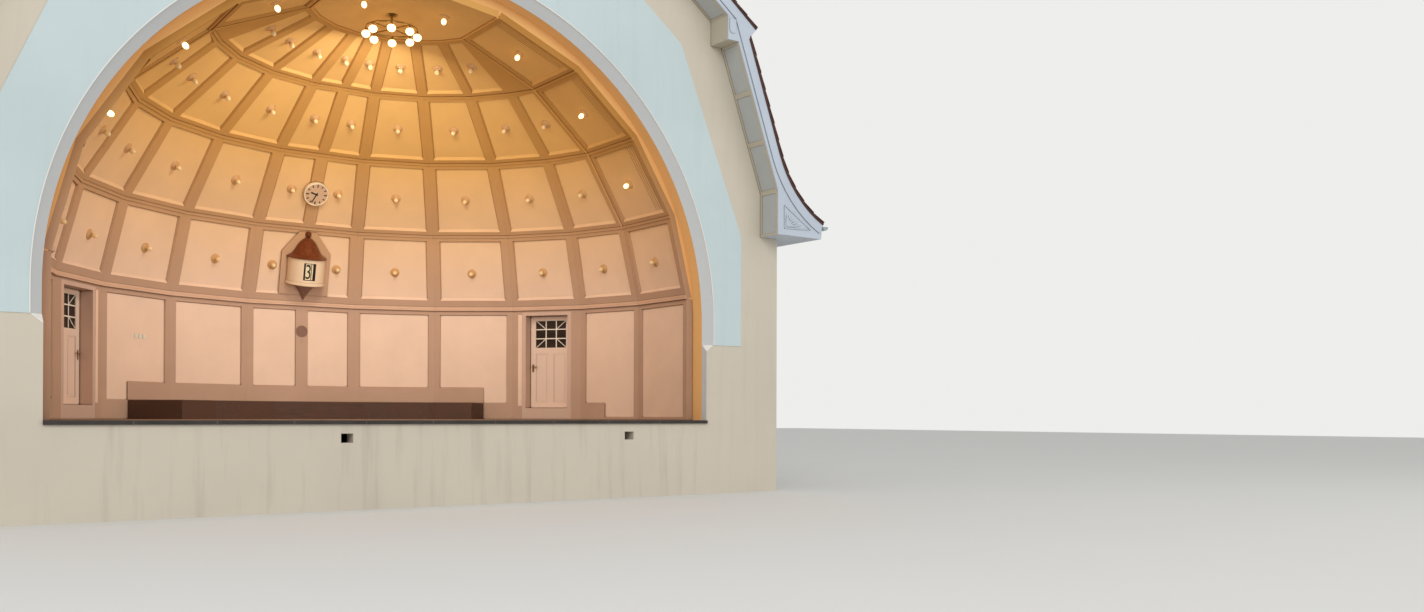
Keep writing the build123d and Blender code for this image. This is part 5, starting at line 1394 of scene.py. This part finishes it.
def grille():
    """Round perforated grille with a rim and two screws below it."""
    low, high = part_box("wall_grille")
    centre = Vector(((low.x + high.x) / 2, high.y, (low.z + high.z) / 2))
    radius, depth = (high.x - low.x) / 2, high.y - low.y
    place = placing(centre, RIGHT, OUTWARD)
    inside, sunk = radius - GRILLE_RIM, depth - GRILLE_SINK
    shape = bmesh.new()
    add_turned(shape, [(0, 0), (radius, 0), (radius, depth - 4 * MM), (radius - 4 * MM, depth),
                       (radius - 14 * MM, depth), (inside, sunk), (0, sunk)], place, 40)
    for ring in range(1, 6):
        r = ring * inside / 6
        add_turned(shape, [(r - 4 * MM, sunk), (r - 2 * MM, sunk + 4 * MM),
                           (r + 2 * MM, sunk + 4 * MM), (r + 4 * MM, sunk)], place, 40)
    for drop in SCREW_DROPS:
        spot = placing(centre + Vector((8 * MM, 0, -radius - drop)), RIGHT, OUTWARD)
        add_turned(shape, [(0, 0), (9 * MM, 0), (9 * MM, 3 * MM), (0, 5 * MM)], spot, 14)
    piece("grille_face", tidied(shape), zinc_paint("bronze_painted_grille", linear("#8A6450"), 0.5),
          replaces=["wall_grille"], smooth=True)


def switches():
    """Three small switch plates on the wall left of the middle."""
    walls = [flat for flat in flats("shell_wall_back") if flat.sunk and flat.area > SMALLEST_FIELD]
    wall = min(walls, key=lambda flat: flat.centre.x)
    along = wall.level()
    shape = bmesh.new()
    for k in range(3):
        spot = Vector((wall.centre.x, wall.centre.y, STAGE_LEVEL + SWITCH_HEIGHT))
        spot += along * (SWITCH_START + SWITCH_SPACING * k) + wall.normal * FIELD_THICKNESS
        place = placing(spot, along, wall.normal)
        add_block(shape, (-40 * MM, -40 * MM, -2 * MM), (40 * MM, 40 * MM, 10 * MM), place)
        add_block(shape, (-18 * MM, -28 * MM, 9 * MM), (18 * MM, 28 * MM, 14 * MM), place)
    piece("switch_plates", shape, enamel("moulded_switch_plates", linear("#D9CDB8"), 0.4))


# Studio. The camera was solved from the photograph. Its angles are in degrees.

CAMERA_PLACE = (-8.169, -23.472, 1.544)
CAMERA_YAW = 36.9
CAMERA_PITCH = 0.312
CAMERA_ROLL = 0.153
FOCAL_PIXELS = 1181
FRAME_WIDTH, FRAME_HEIGHT = 1424, 612
CENTRE_ROW = 409.2
SENSOR = 36.0
FLOOR_HALF = 90
SKY_LIGHT = 0.68
# Each light's name, place, target, size and power
LIGHTS = (
    ("key_light", (-16, -34, 20), (0, -2, 5), 18, 4600),
    ("fill_light", (18, -30, 10), (0, -2, 5), 18, 1200),
    ("shell_light", (0, -4.2, 3.6), (0, 4, 3.6), 4, 100),
    ("crown_light", (0, -2.9, 7.9), (0, 0.4, 3.4), 1.4, 122),
    ("floor_bounce", (0, -2.6, 2.2), (0, -1.6, 9), 4, 45),
)


class BANDSHELL_OT_studio(bpy.types.Operator):
    """Make the pale floor, the plain light and the camera"""
    bl_idname = "bandshell.studio"
    bl_label = "Studio"

    def execute(self, context):
        context.scene.view_settings.view_transform = "Standard"
        studio_ground(context.scene)
        studio_world(context.scene)
        studio_lights(context.scene)
        photo_camera(context.scene)
        return {"FINISHED"}


def studio_ground(scene):
    """Pale floor below the building."""
    shape = bmesh.new()
    bmesh.ops.create_grid(shape, x_segments=2, y_segments=2, size=FLOOR_HALF)
    mesh = bpy.data.meshes.new("studio_floor")
    shape.to_mesh(mesh)
    shape.free()
    ground = bpy.data.objects.new("studio_floor", mesh)
    scene.collection.objects.link(ground)
    mesh.materials.append(clouded("studio_floor", 0.95, 0.1, linear("#D9D9D6"), 3.0, 0.006))


def studio_world(scene):
    """Even light from all around, and a plain backdrop for the camera, mirrors and glass."""
    world = bpy.data.worlds.new("studio_world")
    scene.world = world
    world.use_nodes = True
    tree = world.node_tree
    tree.nodes.clear()
    rays = node(tree, "ShaderNodeLightPath")
    seen = node(tree, "ShaderNodeMath", {"operation": "MAXIMUM"},
                {0: rays.outputs["Is Camera Ray"], 1: rays.outputs["Is Glossy Ray"]})
    seen = node(tree, "ShaderNodeMath", {"operation": "MAXIMUM"},
                {0: seen.outputs[0], 1: rays.outputs["Is Transmission Ray"]})
    light = node(tree, "ShaderNodeBackground", {"Color": (1, 1, 1, 1), "Strength": SKY_LIGHT})
    backdrop = node(tree, "ShaderNodeBackground",
                    {"Color": shade(linear("#EEEEEC")), "Strength": 1.0})
    mixed = node(tree, "ShaderNodeMixShader", links={0: seen.outputs[0], 1: light.outputs[0],
                                                     2: backdrop.outputs[0]})
    node(tree, "ShaderNodeOutputWorld", links={"Surface": mixed.outputs[0]})


def studio_lights(scene):
    """Two large soft lights before the stage and three in the shell."""
    for name, place, target, size, power in LIGHTS:
        lamp = bpy.data.lights.new(name, "AREA")
        lamp.size = size
        lamp.energy = power
        holder = bpy.data.objects.new(name, lamp)
        holder.location = place
        holder.rotation_euler = (Vector(target) - Vector(place)).to_track_quat("-Z", "Y").to_euler()
        holder.visible_camera = False
        holder.visible_glossy = False
        scene.collection.objects.link(holder)


def photo_camera(scene):
    """The photograph's own view."""
    view = bpy.data.cameras.new("photo_camera")
    view.sensor_width = SENSOR
    view.lens = FOCAL_PIXELS / FRAME_WIDTH * SENSOR
    view.shift_y = (CENTRE_ROW - FRAME_HEIGHT / 2) / FRAME_WIDTH
    holder = bpy.data.objects.new("photo_camera", view)
    turn = (Matrix.Rotation(-math.radians(CAMERA_YAW), 4, "Z")
            @ Matrix.Rotation(math.radians(90 + CAMERA_PITCH), 4, "X")
            @ Matrix.Rotation(math.radians(CAMERA_ROLL), 4, "Z"))
    holder.matrix_world = Matrix.Translation(CAMERA_PLACE) @ turn
    scene.collection.objects.link(holder)
    scene.camera = holder


# Panel and registration

STEPS = (
    BANDSHELL_OT_outer_walls,
    BANDSHELL_OT_roof_tiles,
    BANDSHELL_OT_roof_trim,
    BANDSHELL_OT_half_dome,
    BANDSHELL_OT_vault_lamps,
    BANDSHELL_OT_crown_lamps,
    BANDSHELL_OT_clock,
    BANDSHELL_OT_programme_box,
    BANDSHELL_OT_stage_doors,
    BANDSHELL_OT_stage_floor,
    BANDSHELL_OT_studio,
)

GROUPS = {
    "band_shell_paint": BandShellPaint,
    "band_shell_roof": BandShellRoof,
    "band_shell_lamps": BandShellLamps,
    "band_shell_fittings": BandShellFittings,
}


class BANDSHELL_PT_finishes(bpy.types.Panel):
    """Lists the settings and the steps of the band shell"""
    bl_idname = "BANDSHELL_PT_finishes"
    bl_label = "Band shell"
    bl_space_type = "VIEW_3D"
    bl_region_type = "UI"
    bl_category = "Band shell"

    def draw(self, context):
        for name, group in GROUPS.items():
            box = self.layout.box()
            for setting in group.__annotations__:
                box.prop(getattr(context.scene, name), setting)
        for kind in STEPS:
            self.layout.operator(kind.bl_idname)


def register():
    for kind in (*GROUPS.values(), *STEPS, BANDSHELL_PT_finishes):
        bpy.utils.register_class(kind)
    for name, group in GROUPS.items():
        setattr(bpy.types.Scene, name, bpy.props.PointerProperty(type=group))


def unregister():
    for name in GROUPS:
        delattr(bpy.types.Scene, name)
    for kind in (BANDSHELL_PT_finishes, *STEPS[::-1], *GROUPS.values()):
        bpy.utils.unregister_class(kind)


def main():
    register()
    for kind in STEPS:
        group, name = kind.bl_idname.split(".")
        getattr(getattr(bpy.ops, group), name)()


if __name__ == "__main__":
    main()
